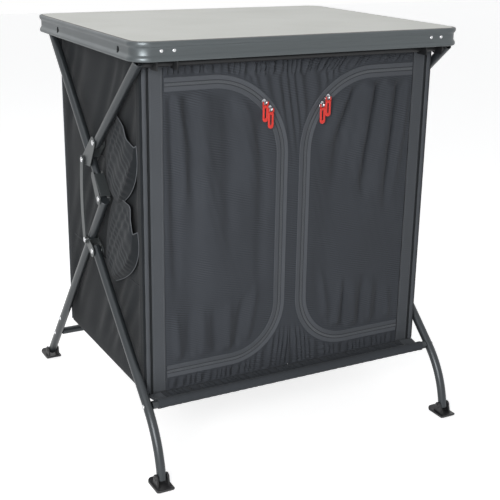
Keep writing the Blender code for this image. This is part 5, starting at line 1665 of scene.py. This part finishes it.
@dataclass
class Cabinet:
    """The cloth walls, doors, front, bindings, boards, ledge, sleeve and pockets."""

    shop: Workshop
    edge: DoorEdge
    binding_inner: float = 0.2750
    binding_thick: float = 0.0018
    binding_bend: float = 0.0030
    return_length: float = 0.016
    seams: tuple[float, float] = (0.0030, 0.0235)
    strip: tuple[float, float] = (0.3066, 0.3152)
    strip_height: float = 0.0026
    sleeve_inset: float = 0.006
    tab: float = 0.03
    wall_thick: float = 0.0012
    front_thick: float = 0.0011
    band_thick: float = 0.0014
    piping_radius: float = 0.0034
    fold_gain: float = 2.3
    fold_inward: float = 0.0085
    fold_outward: float = 0.011
    stitch_pitch: float = 0.0034
    tape_half: float = 0.0125

    def build(self) -> None:
        """Makes every cloth piece and board."""
        for side in Side:
            self.side_wall(side)
            self.door(side)
            self.binding(side)
        self.back_wall()
        self.fascia()
        self.boards()
        self.ledge()
        self.sleeve()
        for node, lines in POCKETS.items():
            self.pocket(node, lines)

    def side_wall(self, side: Side) -> None:
        """A side wall whose soft slanting folds lie inwards, and the piping of its back corner.

        Args:
            side: the side that it is for.
        """
        at, sign = self.shop.layout, side.value
        u, v = grid(150, 110)
        start, end = at.rear + at.gap, at.back - at.cloth - at.gap
        y = start + u * (end - start)
        z = at.bottom + v * (at.panel_top - at.bottom)
        slant = y + 0.45 * (z - 0.45)
        wave = 0.5 * ripple(slant, 0.115, 1.3) + 0.3 * ripple(slant + 0.2 * z, 0.061, 2.9)
        still = calm(u, 0, 1, 0.10) * calm(v, 0, 1, 0.10)
        sag = 0.3 * np.sin(TURN * (z * 2.1 + y * 0.8))
        x = at.half - 0.0002 + (-0.0034 + 0.0034 * (wave + sag)) * still
        rows = space(sign * x, y, z)
        wall = Patch(rows, uv=rows[..., 1:], towards=(sign, 0, 0))
        node = f"side_panel_{side.word}"
        # The wall takes the side cloth, darkened as painted shade.
        thing = self.shop.piece(
            f"wall_cloth_{side.word}", [wall], "side_cloth", "worktop", node, "wall_cloth",
            thick=self.wall_thick, folds=True,
        )
        self.shop.sheet(thing, rows, "hung", "edge_rim")
        heights = np.linspace(at.bottom + 0.003, at.hinge[1] - 0.004, 60)
        lean = at.back + 0.0028 + 0.005 * smooth((heights - 0.70) / 0.07)
        cord = pipe(space(sign * (at.half - 0.0015), lean, heights), self.piping_radius, 0.0, 16)
        self.shop.piece(
            f"wall_piping_{side.word}", [cord], "band_webbing", "worktop", node, "wall_cloth", folds=True
        )

    def back_wall(self) -> None:
        """The back wall with soft upright folds that lie outwards."""
        at = self.shop.layout
        u, v = grid(120, 200)
        x = (2 * u - 1) * at.half
        z = at.bottom + v * (at.panel_top - at.bottom)
        wave = (1 + ripple(x + 0.06 * z, 0.105, 0.7)) / 2 + 0.25 * ripple(x - 0.1 * z, 0.047, 2.1)
        still = calm(u, 0, 1, 0.12) * calm(v, 0, 1, 0.12)
        rows = space(x, at.back + 0.0042 * wave * still, z)
        wall = Patch(rows, uv=rows[..., ::2], towards=(0, 1, 0))
        # The back wall takes the same cloth, darkened as painted shade.
        thing = self.shop.piece(
            "back_cloth", [wall], "side_cloth", "worktop", "back_panel", "wall_cloth", thick=self.wall_thick,
            folds=True,
        )
        self.shop.sheet(thing, rows, "hung", "edge_rim")

    def door(self, side: Side) -> None:
        """A door flap from its hinge to its zip, with the folds of its own side.

        Each row runs from the hinge to the free edge at the same height, and the folds fade to
        nothing at the zip and the hinge.

        Args:
            side: the side that it is for.
        """
        at, sign, node = self.shop.layout, side.value, f"door_{side.word}"
        hinge = self.edge.hinge - at.gap
        inner = self.edge.path(at.gap, hinge)[self.edge.steps[0] : -self.edge.steps[-1]][::-1]
        x = hinge + np.linspace(0, 1, 121) * (inner[:, :1] - hinge)
        z = np.broadcast_to(inner[:, 1:], x.shape)
        away = self.clearance(x, z)
        still = smooth((away - self.tape_half - 0.001) / 0.022) * smooth((hinge - x) / 0.022)
        folds = RIGHT_FOLDS if side is Side.RIGHT else LEFT_FOLDS
        world = sign * x
        raised = self.fold_gain * sum(fold.raised(world, z) for fold in folds)
        limit = np.where(raised < 0, self.fold_inward, self.fold_outward)
        raised = limit * np.tanh(raised / limit)
        fine = 0.00035 * ripple(world + 0.3 * z, 0.023, 1.1) * smooth((z - 0.25) / 0.4)
        fine += 0.0009 * ripple(world, 0.0165, 4.0) * smooth((0.245 - z) / 0.05)
        rows = space(world, at.face - (raised + fine - 0.0004) * still, z)
        flap = Patch(rows, uv=rows[..., ::2], towards=(0, -1, 0))
        thing = self.shop.piece(
            f"door_cloth_{side.word}", [flap], "front_cloth", node, node, "door_cloth",
            thick=self.front_thick, folds=True,
        )
        self.shop.sheet(thing, rows, "hung", "corner_binding_" + side.word)

    def clearance(self, x: Array, z: Array) -> Array:
        """How far a place of the right-hand door lies from the zip's line, into the door.

        Args:
            x: the places' distances from the middle.
            z: their heights.

        Returns:
            The distances, negative outside the door.
        """
        edge = self.edge
        high = (edge.inner + edge.upper_radius, edge.top - edge.upper_radius)
        low = (edge.inner + edge.lower_radius, edge.bottom + edge.lower_radius)
        straight = np.minimum.reduce([x - edge.inner, edge.top - z, z - edge.bottom])
        in_high = (x < high[0]) & (z > high[1])
        in_low = (x < low[0]) & (z < low[1])
        far_high = edge.upper_radius - np.hypot(x - high[0], z - high[1])
        far_low = edge.lower_radius - np.hypot(x - low[0], z - low[1])
        return np.where(in_high, far_high, np.where(in_low, far_low, straight))

    def fascia(self) -> None:
        """The fixed front round the doors, as one grid from the zips' lines outwards.

        Its right half runs from a door's edge path to the top, middle and bottom lines of the
        front, and the left half mirrors it with pleats of its own.
        """
        at = self.shop.layout
        limit = self.binding_inner - at.gap
        path = self.edge.path(-at.gap, limit)
        v = np.linspace(0, 1, 47)[:, None, None]
        flat = path * (1 - v) + self.outer_line(path) * v
        halves = []
        for sign in (-1, 1):
            x, z = sign * flat[..., 0], flat[..., 1]
            rows = space(x, at.face - self.pleats(x, z, -self.clearance(np.abs(x), z)), z)
            halves.append(Patch(rows, uv=rows[..., ::2], towards=(0, -1, 0)))
        thing = self.shop.piece(
            "front_frame_cloth", halves, "front_cloth", "worktop", "front_fascia", "door_cloth",
            thick=self.front_thick, folds=True,
        )

    def outer_line(self, path: Array) -> Array:
        """The fascia's outer boundary: the top line, the middle line and the bottom line.

        Args:
            path: the zip's line, as (X, Z) points.

        Returns:
            A point for each of the path's.
        """
        at, edge = self.shop.layout, self.edge
        first, second, third, fourth = np.cumsum(edge.steps[:4])
        outer = path.copy()
        outer[:first, 1] = at.panel_top
        turn, corner = np.linspace(0, 1, edge.steps[1]), 0.62
        fall = at.panel_top - path[second, 1]
        outer[first:second, 0] = path[first, 0] * (1 - np.clip(turn / corner, 0, 1))
        outer[first:second, 1] = at.panel_top - fall * np.clip((turn - corner) / (1 - corner), 0, 1)
        outer[second:third, 0] = 0
        turn, corner = np.linspace(0, 1, edge.steps[3]), 0.45
        rise = path[third - 1, 1] - at.bottom
        reach = edge.inner + edge.lower_radius
        outer[third:fourth, 0] = reach * np.clip((turn - corner) / (1 - corner), 0, 1)
        outer[third:fourth, 1] = at.bottom + rise * (1 - np.clip(turn / corner, 0, 1))
        outer[fourth:, 1] = at.bottom
        return outer

    def pleats(self, x: Array, z: Array, away: Array) -> Array:
        """How far the fixed front stands out: gathers above and below the zips, still at their tapes.

        Upright and slanting waves of uneven pitch are scaled by how far a place lies from the
        zip's line, and by the strip that it is in.

        Args:
            x: the places' distances along X.
            z: their heights.
            away: how far they lie outside the zip's line.

        Returns:
            The distances.
        """
        at = self.shop.layout
        still = smooth((away - self.tape_half) / 0.012)
        edges = smooth((self.binding_inner - np.abs(x)) / 0.010)
        top = smooth((z - 0.735) / 0.02)
        slant = x - 0.75 * (z - at.rim_bottom) * smooth((x + 0.02) / 0.10)
        above = 0.0030 * ripple(slant, 0.0125, 0.9) + 0.0024 * ripple(slant, 0.0270, 3.2)
        corner = smooth((z - 0.55) / 0.12) * (1 - top)
        beside = 0.0024 * ripple(x * 0.9 + 0.15 * z, 0.0175, 5.1)
        foot = smooth((0.235 - z) / 0.04)
        below = 0.0024 * ripple(x + 0.10 * (z - at.bottom) * np.sign(x), 0.0136, 2.4)
        below += 0.0008 * ripple(x, 0.0061, 1.7)
        seam = smooth((z - at.bottom) / 0.006)
        return (above * top + beside * corner + below * foot * seam) * still * edges

    def binding(self, side: Side) -> None:
        """The woven band round a front corner, its piping and its two seams.

        Args:
            side: the side that it is for.
        """
        at, sign, node = self.shop.layout, side.value, f"corner_binding_{side.word}"
        front = at.face - self.binding_thick / 2
        outer = at.half + 0.0006 + self.binding_thick
        bend = self.binding_bend
        across = np.linspace(self.binding_inner, outer - bend, 29)[:-1]
        back = np.linspace(front + bend, front + self.binding_thick + self.return_length, 12)[1:]
        corner = arc((outer - bend, front + bend), bend, -TURN / 4, 0, 10)
        plan = np.concatenate([space(across, front), corner, space(outer, back)])
        length = travelled(plan)
        z = np.linspace(at.bottom, at.rim_bottom - at.gap, 150)[:, None]
        lip = 0.0004 * (np.exp(-((length / 0.0022) ** 2)) + np.exp(-(((length[-1] - length) / 0.0022) ** 2)))
        x = plan[:, 0]
        y = plan[:, 1] - lip + 0.0004 * ripple(z, 0.083, 1.0 + sign) * smooth((0.30 - np.abs(x)) / 0.01)
        rows, uv = space(sign * x, y, z), space(length, z)
        split = int(np.searchsorted(across, self.strip[0] - 0.0052))
        band = Patch(rows[:, : split + 1], uv=uv[:, : split + 1], towards=(0, -1, 0))
        # From just short of the cord round the corner, the cloth takes the side cloth, darkened as painted
        # shade.
        corner_cloth = Patch(rows[:, split:], uv=uv[:, split:], towards=(sign, -1, 0), slot=3)
        kinds = "band_webbing thread_grey dark_seam side_cloth"
        thing = self.shop.piece(
            f"corner_band_{side.word}", [band, corner_cloth], kinds, "worktop", node, "binding",
            thick=self.band_thick, folds=True,
        )
        self.shop.sheet(thing, rows, "stretched", "front_fascia")
        heights = np.linspace(at.bottom + 0.002, at.rim_bottom - 0.002, 90)
        z = heights[:, None]
        middle, half = sum(self.strip) / 2, (self.strip[1] - self.strip[0]) / 2
        turn = np.linspace(0, TURN, 20, endpoint=False)
        swell = 1 + 0.05 * ripple(z, 0.061, 0.4)
        x = sign * (middle + half * swell * np.cos(turn))
        y = front - 0.0004 + self.strip_height * swell * np.sin(turn)
        trims = [Patch(space(x, y, z), ring=True, caps=True, uv=space(half * turn, z))]
        # Painted shade: a near-black cord lies in the groove between the piping cord and the band.
        groove = space(sign * (self.strip[0] - 0.0026), front - 0.0001, heights)
        trims.append(pipe(groove, 0.0013, 0.0, 8, slot=2))
        for inset in self.seams:
            line = space(sign * (self.binding_inner + inset), front - 0.0003, heights)
            trims += stitches(line, self.stitch_pitch, (0, -1, 0))
        self.shop.piece(f"corner_trim_{side.word}", trims, kinds, "worktop", node, "binding", folds=True)

    def boards(self) -> None:
        """The floor and the two shelves: stiff boards in a cloth cover with a welt round them."""
        stops = (
            (0.0012, 0.0), (0.0003, 0.2), (0.0, 0.5), (0.0003, 0.8), (0.0012, 1.0), (0.006, 1.0),
            (0.0068, 0.97), (0.0076, 1.0),
        )
        for node in ("floor_board", "shelf_lower", "shelf_upper"):
            low, high = self.shop.node_box(node)
            middle, half = np.array((low + high) / 2), (high - low) / 2
            rows = []
            for inset, share in stops:
                outline = rounded(half.x - inset, half.y - inset, 0.008, 8) + middle[:2]
                rows.append(lift(outline, low.z + (high.z - low.z) * share, 2))
            board = Patch(np.stack(rows), ring=True, caps=True)
            self.shop.piece(
                f"{node}_cover", [board], "board_cover", "worktop", node, "shelf_board", folds=True
            )

    def ledge(self) -> None:
        """The cloth from the cabinet's bottom front edge to the front bar, with soft wrinkles."""
        at = self.shop.layout
        u, v = grid(30, 640)
        seam = at.face + at.cloth
        outer = at.bar[0] + at.bar_radius + 0.0014 + 2 * at.gap
        half = at.half - self.sleeve_inset * (1 - smooth(v)) - 0.0003
        x = (2 * u - 1) * half
        y = outer + v * (seam - outer)
        low, high = at.bar[1] + 0.0005, at.bottom - at.gap
        still = calm(v, 0, 1, 0.25) * calm(u, 0, 1, 0.02)
        middle = calm(np.abs(x), -at.half, at.half - self.tab, 0.012)
        gather = ripple(x + 0.25 * y, 0.0125, 0.9) * middle + 0.3 * ripple(x + 0.3 * y, 0.033, 0.4)
        sag = 0.0024 * np.sin(np.pi * v) * calm(u, 0, 1, 0.04)
        z = low + v * (high - low) + 0.0019 * gather * still - sag
        rows = space(x, y, np.minimum(z, high))
        tab = int(np.searchsorted(x[-1], self.tab - at.half))
        last = x.shape[1] - 1
        patches = [
            Patch(rows[:, start : end + 1], towards=(0, 0, 1), slot=slot)
            for start, end, slot in ((0, tab, 1), (tab, last - tab, 0), (last - tab, last, 1))
        ]
        thing = self.shop.piece(
            "ledge_cloth_front", patches, "ledge_cloth band_webbing", "worktop", "front_ledge", "binding",
            thick=self.wall_thick, folds=True,
        )
        self.shop.sheet(thing, rows, "stretched", "bar_sleeve")

    def sleeve(self) -> None:
        """The sleeve round the front bar, slightly wrinkled, with a seam and two bound ends."""
        at = self.shop.layout
        reach = at.half - self.sleeve_inset
        turn = np.linspace(0, TURN, 48, endpoint=False)
        x = np.linspace(-reach, reach, 260)[:, None]
        bore = at.bar_radius + at.gap
        bulge = 0.0009 + 0.0002 * ripple(x + 0.004 * np.cos(turn), 0.017, 2.0) * calm(x, -reach, reach, 0.01)
        ends = np.exp(-(((np.abs(x) - reach + 0.004) / 0.004) ** 2)) * 0.0005
        seam = 0.0006 * np.exp(-(((turn - TURN * 0.62) / 0.07) ** 2))
        radius = bore + bulge + ends + seam
        y, z = at.bar
        outer, inner = (space(x, y + r * np.cos(turn), z + r * np.sin(turn)) for r in (radius, bore))
        around = space(x, turn * radius.mean())
        uv = np.concatenate([around, around[::-1]])
        tube = Patch(np.concatenate([outer, inner[::-1]]), ring=True, loop=True, uv=uv)
        self.shop.piece(
            "bar_sleeve_cloth", [tube], "sleeve_cloth", "front_lower_legs", "bar_sleeve", "binding"
        )

    def pocket(self, node: str, lines: Sequence[Sequence[tuple[float, float, float]]]) -> None:
        """A slack pocket on the left wall whose front corner pulls out into a ridge.

        Args:
            node: the pocket's node.
            lines: its foot, middle and mouth as rows of (Y, Z, distance out) at POCKET_STOPS.
        """
        at = self.shop.layout
        u, v = grid(90, 96)
        kernel = np.full(9, 1 / 9)
        soft = []
        for line in lines:
            across = (np.pad(np.interp(u[0], POCKET_STOPS, axis), 4, "edge") for axis in zip(*line))
            soft.append(np.array([np.convolve(way, kernel, "valid") for way in across])[:, None])
        foot, middle, mouth = soft
        y, z, out = foot * (1 - v) * (1 - 2 * v) + middle * 4 * v * (1 - v) + mouth * v * (2 * v - 1)
        still = calm(u, 0, 1, 0.2) * calm(v, 0, 1, 0.12)
        out = out + 0.0009 * ripple(y + 0.9 * z, 0.037, 1.9) * still
        out = out + 0.0006 * ripple(z - 0.6 * y, 0.021, 0.6) * still
        rows = space(-(at.half + 0.0022 + np.maximum(out, 0.0)), y, z)
        # Painted shade and light: the front quarter of the pocket takes the darker side cloth as painted
        # shade, and the rest takes the lighter pocket cloth as painted light.
        split = int(0.24 * 96)
        patches = [
            Patch(part, uv=part[..., 1:], towards=(-1, 0, 0), slot=slot)
            for part, slot in ((rows[:, : split + 1], 2), (rows[:, split:], 0))
        ]
        kinds = "pocket_weave thread_grey side_cloth"
        thing = self.shop.piece(
            f"{node}_cloth", patches, kinds, "worktop", node, "pocket_cloth", thick=self.front_thick,
            folds=True, lean=POCKET_LEAN,
        )
        self.shop.sheet(thing, rows, "hung", "side_panel_left")
        hems = [
            pipe(line - (0.0002, 0, 0), radius, 0.0, 8, slot=1)
            for line, radius in ((rows[-1], 0.0009), (rows[:, 0], 0.0007))
        ]
        self.shop.piece(
            f"{node}_hem", hems, kinds, "worktop", node, "pocket_cloth", folds=True, lean=POCKET_LEAN
        )


@dataclass
class Zips:
    """The zip tapes with their coils, the sliders and the pull tabs."""

    shop: Workshop
    edge: DoorEdge
    tape_half: float = 0.0125
    tape_thick: float = 0.0012
    start_gap: float = 0.003
    coil_half: float = 0.0022
    coil_pitch: float = 0.0021
    spread: float = math.radians(3.4)
    turn: float = math.radians(41.5)
    slider_rise: float = 0.0045
    bail_rise: float = 0.0025

    def build(self) -> None:
        """Makes both zips."""
        for side in Side:
            self.tape(side, "fixed", -1)
            self.tape(side, "door", 1)
            for which, turn in (("upper", self.spread), ("lower", -self.spread)):
                self.slider(side, which, turn)
                self.pull(side, which, turn)

    def tape_front(self) -> float:
        """The front face of a tape."""
        at = self.shop.layout
        return at.face - at.gap - self.tape_thick

    def tape(self, side: Side, name: str, inward: int) -> None:
        """One tape: a ribbon with raised edges, and its half of the coil.

        Args:
            side: the side of the door.
            name: fixed or door, as the nodes are called.
            inward: 1 where the tape lies on the door and -1 on the fixed front.
        """
        at, sign, node = self.shop.layout, side.value, f"{name}_tape_{side.word}"
        start = self.edge.hinge - self.start_gap
        half, back, front = self.tape_half, at.face - at.gap, self.tape_front()
        profile = (
            (at.gap, back), (at.gap, front + 0.0002), (self.coil_half, front + 0.0002),
            (self.coil_half + 0.0005, front), (half - 0.0014, front + 0.0001),
            (half - 0.0008, front - 0.0002), (half - 0.0001, front), (half, front + 0.0004), (half, back),
        )
        columns = []
        for inset, y in profile:
            x, z = self.edge.path(inward * inset, start).T
            columns.append(space(sign * x, y, z))
        length = travelled(self.edge.path(0, start))
        uv = space([inset for inset, _ in profile], length[:, None])
        ribbon = Patch(np.stack(columns, axis=1), ring=True, caps=True, uv=uv)
        places, runs = spaced(self.edge.path(inward * self.coil_half * 0.5, start), self.coil_pitch)
        spots = space(sign * places[:, 0], front - 0.0001, places[:, 1])
        if inward > 0:
            ahead = space(sign * runs[:, 0], 0.0, runs[:, 1])
            spots += 0.5 * self.coil_pitch * ahead / np.linalg.norm(runs, axis=1, keepdims=True)
        sideways = space(-sign * runs[:, 1], 0.0, runs[:, 0])
        teeth = beads(0.00075, self.coil_half * 1.2, spots, sideways, (0, -1, 0))
        body = f"door_{side.word}" if inward > 0 else "worktop"
        self.shop.piece(
            f"{node}_ribbon", [ribbon, *teeth], "zip_ribbon coil_grey", body, node, "zip_tape", folds=True
        )

    def slider_place(self, side: Side, turn: float) -> Place:
        """The place in (X, Z) of a slider on a door's upper corner.

        Args:
            side: the side that it is for.
            turn: its angle from the middle between the two sliders.

        Returns:
            The place.
        """
        edge, radius = self.edge, self.edge.upper_radius
        angle = math.pi - self.turn - turn
        x = edge.inner + radius + radius * math.cos(angle)
        return side.value * x, edge.top - radius + radius * math.sin(angle)

    def slider(self, side: Side, which: str, turn: float) -> None:
        """A slider's body, with a raised bridge, and its bail of wire.

        Args:
            side: the side that it is for.
            which: upper or lower.
            turn: its angle from the middle between the sliders.
        """
        sign, node = side.value, f"zip_slider_{side.word}_{which}"
        x, z = self.slider_place(side, turn)
        tangent = sign * (TURN / 4 - self.turn - turn)
        direction = -sign if which == "upper" else sign
        corners = (
            (-0.0062, -0.0030), (-0.0050, -0.0038), (0.0020, -0.0050), (0.0046, -0.0050), (0.0060, -0.0022),
            (0.0060, 0.0022), (0.0046, 0.0050), (0.0020, 0.0050), (-0.0050, 0.0038), (-0.0062, 0.0030),
        )
        plan, bridge = (
            np.array([along((x, z), tangent, direction * s * long, o * wide) for s, o in corners])
            for long, wide in ((1, 1), (0.66, 0.42))
        )
        base = self.tape_front() - self.shop.layout.gap
        low = base - self.slider_rise
        patches = [slab(plan, base - 0.0008, base - 0.0031, 1), slab(bridge, base - 0.002, low, 1)]
        ring = arc((low - self.bail_rise, z), 0.0030, math.radians(-80), math.radians(260), 28)
        bail = lift(ring, x, 0)
        patches += [pipe(bail + (shift, 0, 0), 0.00062, 0.0, 10) for shift in (-0.0011, 0.0, 0.0011)]
        self.shop.piece(
            f"{node}_metal", patches, "zip_silver", node, node, "zip_metal", bevel=0.0003, folds=True
        )

    def pull(self, side: Side, which: str, turn: float) -> None:
        """A pull tab: a frame round a long slot, two arms above it and the wire in the bail.

        Args:
            side: the side that it is for.
            which: upper or lower.
            turn: its slider's angle from the middle between the two.
        """
        node = f"zip_pull_{side.word}_{which}"
        x, z = self.slider_place(side, turn)
        y = self.tape_front() - self.shop.layout.gap - self.slider_rise - self.bail_rise
        half, thick, corner, steps = 0.0061, 0.001, 0.0012, 12
        foot, top = z - 0.037, z - 0.0052 - corner
        rows = []
        soft = 0.0005
        for inset, depth in ((soft, -thick), (0.0, -thick + soft), (0.0, thick - soft), (soft, thick)):
            base = arc((x, foot + half), half - inset, math.pi, TURN, steps)
            right = arc((x + half - corner, top), corner - inset * 0.9, 0, TURN / 4, steps // 2)
            left = arc((x - half + corner, top), corner - inset * 0.9, TURN / 4, TURN / 2, steps // 2 - 1)
            rows.append(lift(np.concatenate([base, right, left]), y + depth, 1))
        soft = 0.0004
        for inset, depth in ((soft, thick), (0.0, thick - soft), (0.0, -thick + soft), (soft, -thick)):
            slot = stadium((x, foot + 0.0086), (x, z - 0.0122), 0.0017 + inset, steps)
            rows.append(lift(slot, y + depth, 1))
        parts = [Patch(np.stack(rows), ring=True, loop=True)]
        for arm in (x - half + 0.0011, x + half - 0.0011):
            outline = stadium((arm, z - 0.0060), (arm, z + 0.0007), 0.0011, 8)
            parts.append(slab(outline, y - thick, y + thick, 1))
        wire = [(x - half + 0.0004, 0.00085), (x + half - 0.0004, 0.00085)]
        parts.append(turned((y, z), wire, 0, 16, slot=1))
        self.shop.piece(
            f"{node}_tab", parts, "red_plastic zip_silver", node, node, "red_pull", sharp=50, folds=True
        )


@dataclass(frozen=True)
class AreaLamp:
    """A soft lamp that faces a place."""

    name: str
    place: tuple[float, float, float]
    size: float
    power: float
    target: tuple[float, float, float] = (0.0, 0.0, 0.42)
    colour: tuple[float, float, float] = (1.0, 1.0, 1.0)

    def make(self) -> None:
        """Adds the lamp."""
        data = bpy.data.lights.new(self.name, "AREA")
        data.size = self.size
        data.energy = self.power
        data.color = self.colour
        lamp = bpy.data.objects.new(self.name, data)
        lamp.location = self.place
        aim = Vector(self.target) - Vector(self.place)
        lamp.rotation_euler = aim.to_track_quat("-Z", "Y").to_euler()
        bpy.context.scene.collection.objects.link(lamp)


@dataclass
class Studio:
    """The camera, the lamps, the floor and the white background."""

    place: tuple[float, float, float] = (-0.9845, -1.8698, 1.0213)
    yaw: float = 0.4982
    pitch: float = 0.3197
    roll: float = 0.016
    focal: float = 1005.97
    sensor: float = 36.0
    picture: float = 500.0
    ambient: float = 0.20
    floor_grey: float = 0.66
    floor_glow: float = 0.74
    floor_half: float = 9.0
    floor_level: float = -0.0006
    lamps: tuple[AreaLamp, ...] = (
        AreaLamp("key", (-1.6, -1.9, 1.15), 1.1, 52.0),
        AreaLamp("fill", (2.6, -1.9, 1.5), 2.2, 4.0),
        AreaLamp("top", (-0.3, 0.2, 3.0), 2.0, 25.0),
        AreaLamp("back", (-1.6, 2.2, 1.8), 1.8, 7.0),
    )

    def build(self) -> None:
        """Makes the whole studio."""
        bpy.context.scene.view_settings.view_transform = "Standard"
        self.camera()
        self.world()
        self.floor()
        for lamp in self.lamps:
            lamp.make()

    def camera(self) -> None:
        """The camera, turned by its yaw, pitch and roll, for a square picture of 500 points."""
        data = bpy.data.cameras.new("camera")
        data.sensor_width = self.sensor
        data.lens = self.focal * self.sensor / self.picture
        data.clip_start, data.clip_end = 0.05, 60
        level = math.cos(self.pitch)
        forward = Vector((math.sin(self.yaw) * level, math.cos(self.yaw) * level, -math.sin(self.pitch)))
        right = Vector((math.cos(self.yaw), -math.sin(self.yaw), 0))
        up = right.cross(forward)
        x = math.cos(self.roll) * right + math.sin(self.roll) * up
        y = -math.sin(self.roll) * right + math.cos(self.roll) * up
        camera = bpy.data.objects.new("camera", data)
        turn = Matrix((x, y, -forward)).transposed().to_4x4()
        camera.matrix_world = Matrix.Translation(self.place) @ turn
        bpy.context.scene.collection.objects.link(camera)
        bpy.context.scene.camera = camera

    def world(self) -> None:
        """A soft grey light all round that the camera sees as white."""
        world = bpy.data.worlds.new("studio")
        world.use_nodes = True
        bpy.context.scene.world = world
        world.node_tree.nodes.clear()
        tree = Tree(world.node_tree)
        path = tree.seen()
        colour = tree.mix(path, (0.82, 0.85, 0.88, 1.0), (1.0, 1.0, 1.0, 1.0))
        strength = tree.span(path, 0, 1, self.ambient, 1.0)
        light = tree.node("Background", {"Color": colour, "Strength": strength})
        tree.node("OutputWorld", {"Surface": light[0]})

    def floor(self) -> None:
        """A plain pale floor that the camera sees as nearly white, with the object's shadow on it."""
        half, level, grey = self.floor_half, self.floor_level, self.floor_grey
        data = bpy.data.meshes.new("floor")
        corners = [(half * x, half * y, level) for x, y in ((-1, -1), (1, -1), (1, 1), (-1, 1))]
        data.from_pydata(corners, [], [(0, 1, 2, 3)])
        surface = Surface("pale_floor")
        inputs = {
            "Base Color": (grey, grey, grey, 1.0), "Roughness": 0.7, "Emission Color": (1.0, 1.0, 1.0, 1.0),
            "Emission Strength": surface.math("MULTIPLY", surface.seen(), self.floor_glow),
        }
        surface.feed(surface.shader, inputs)
        data.materials.append(surface.material)
        floor = bpy.data.objects.new("floor", data)
        bpy.context.scene.collection.objects.link(floor)


def main() -> None:
    """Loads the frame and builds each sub-assembly."""
    logging.basicConfig(level=logging.INFO, format="%(message)s")
    for thing in list(bpy.data.objects):
        bpy.data.objects.remove(thing, do_unlink=True)
    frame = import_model()
    fold = next(joint for joint in frame["joints"] if joint["name"] == "frame_fold")
    effects = Effects.make()
    finish = {kind.name: kind.make(effects) for kind in FINISHES}
    shop = Workshop(Layout(shift=fold["pos_m"][1] - Layout.hinge[0]), finish)
    edge = DoorEdge()
    Studio().build()
    Worktop(shop).build()
    Stand(shop).build()
    Cabinet(shop, edge).build()
    Zips(shop, edge).build()
    log.info("%d pieces made", len(shop.made))


if __name__ == "__main__":
    main()
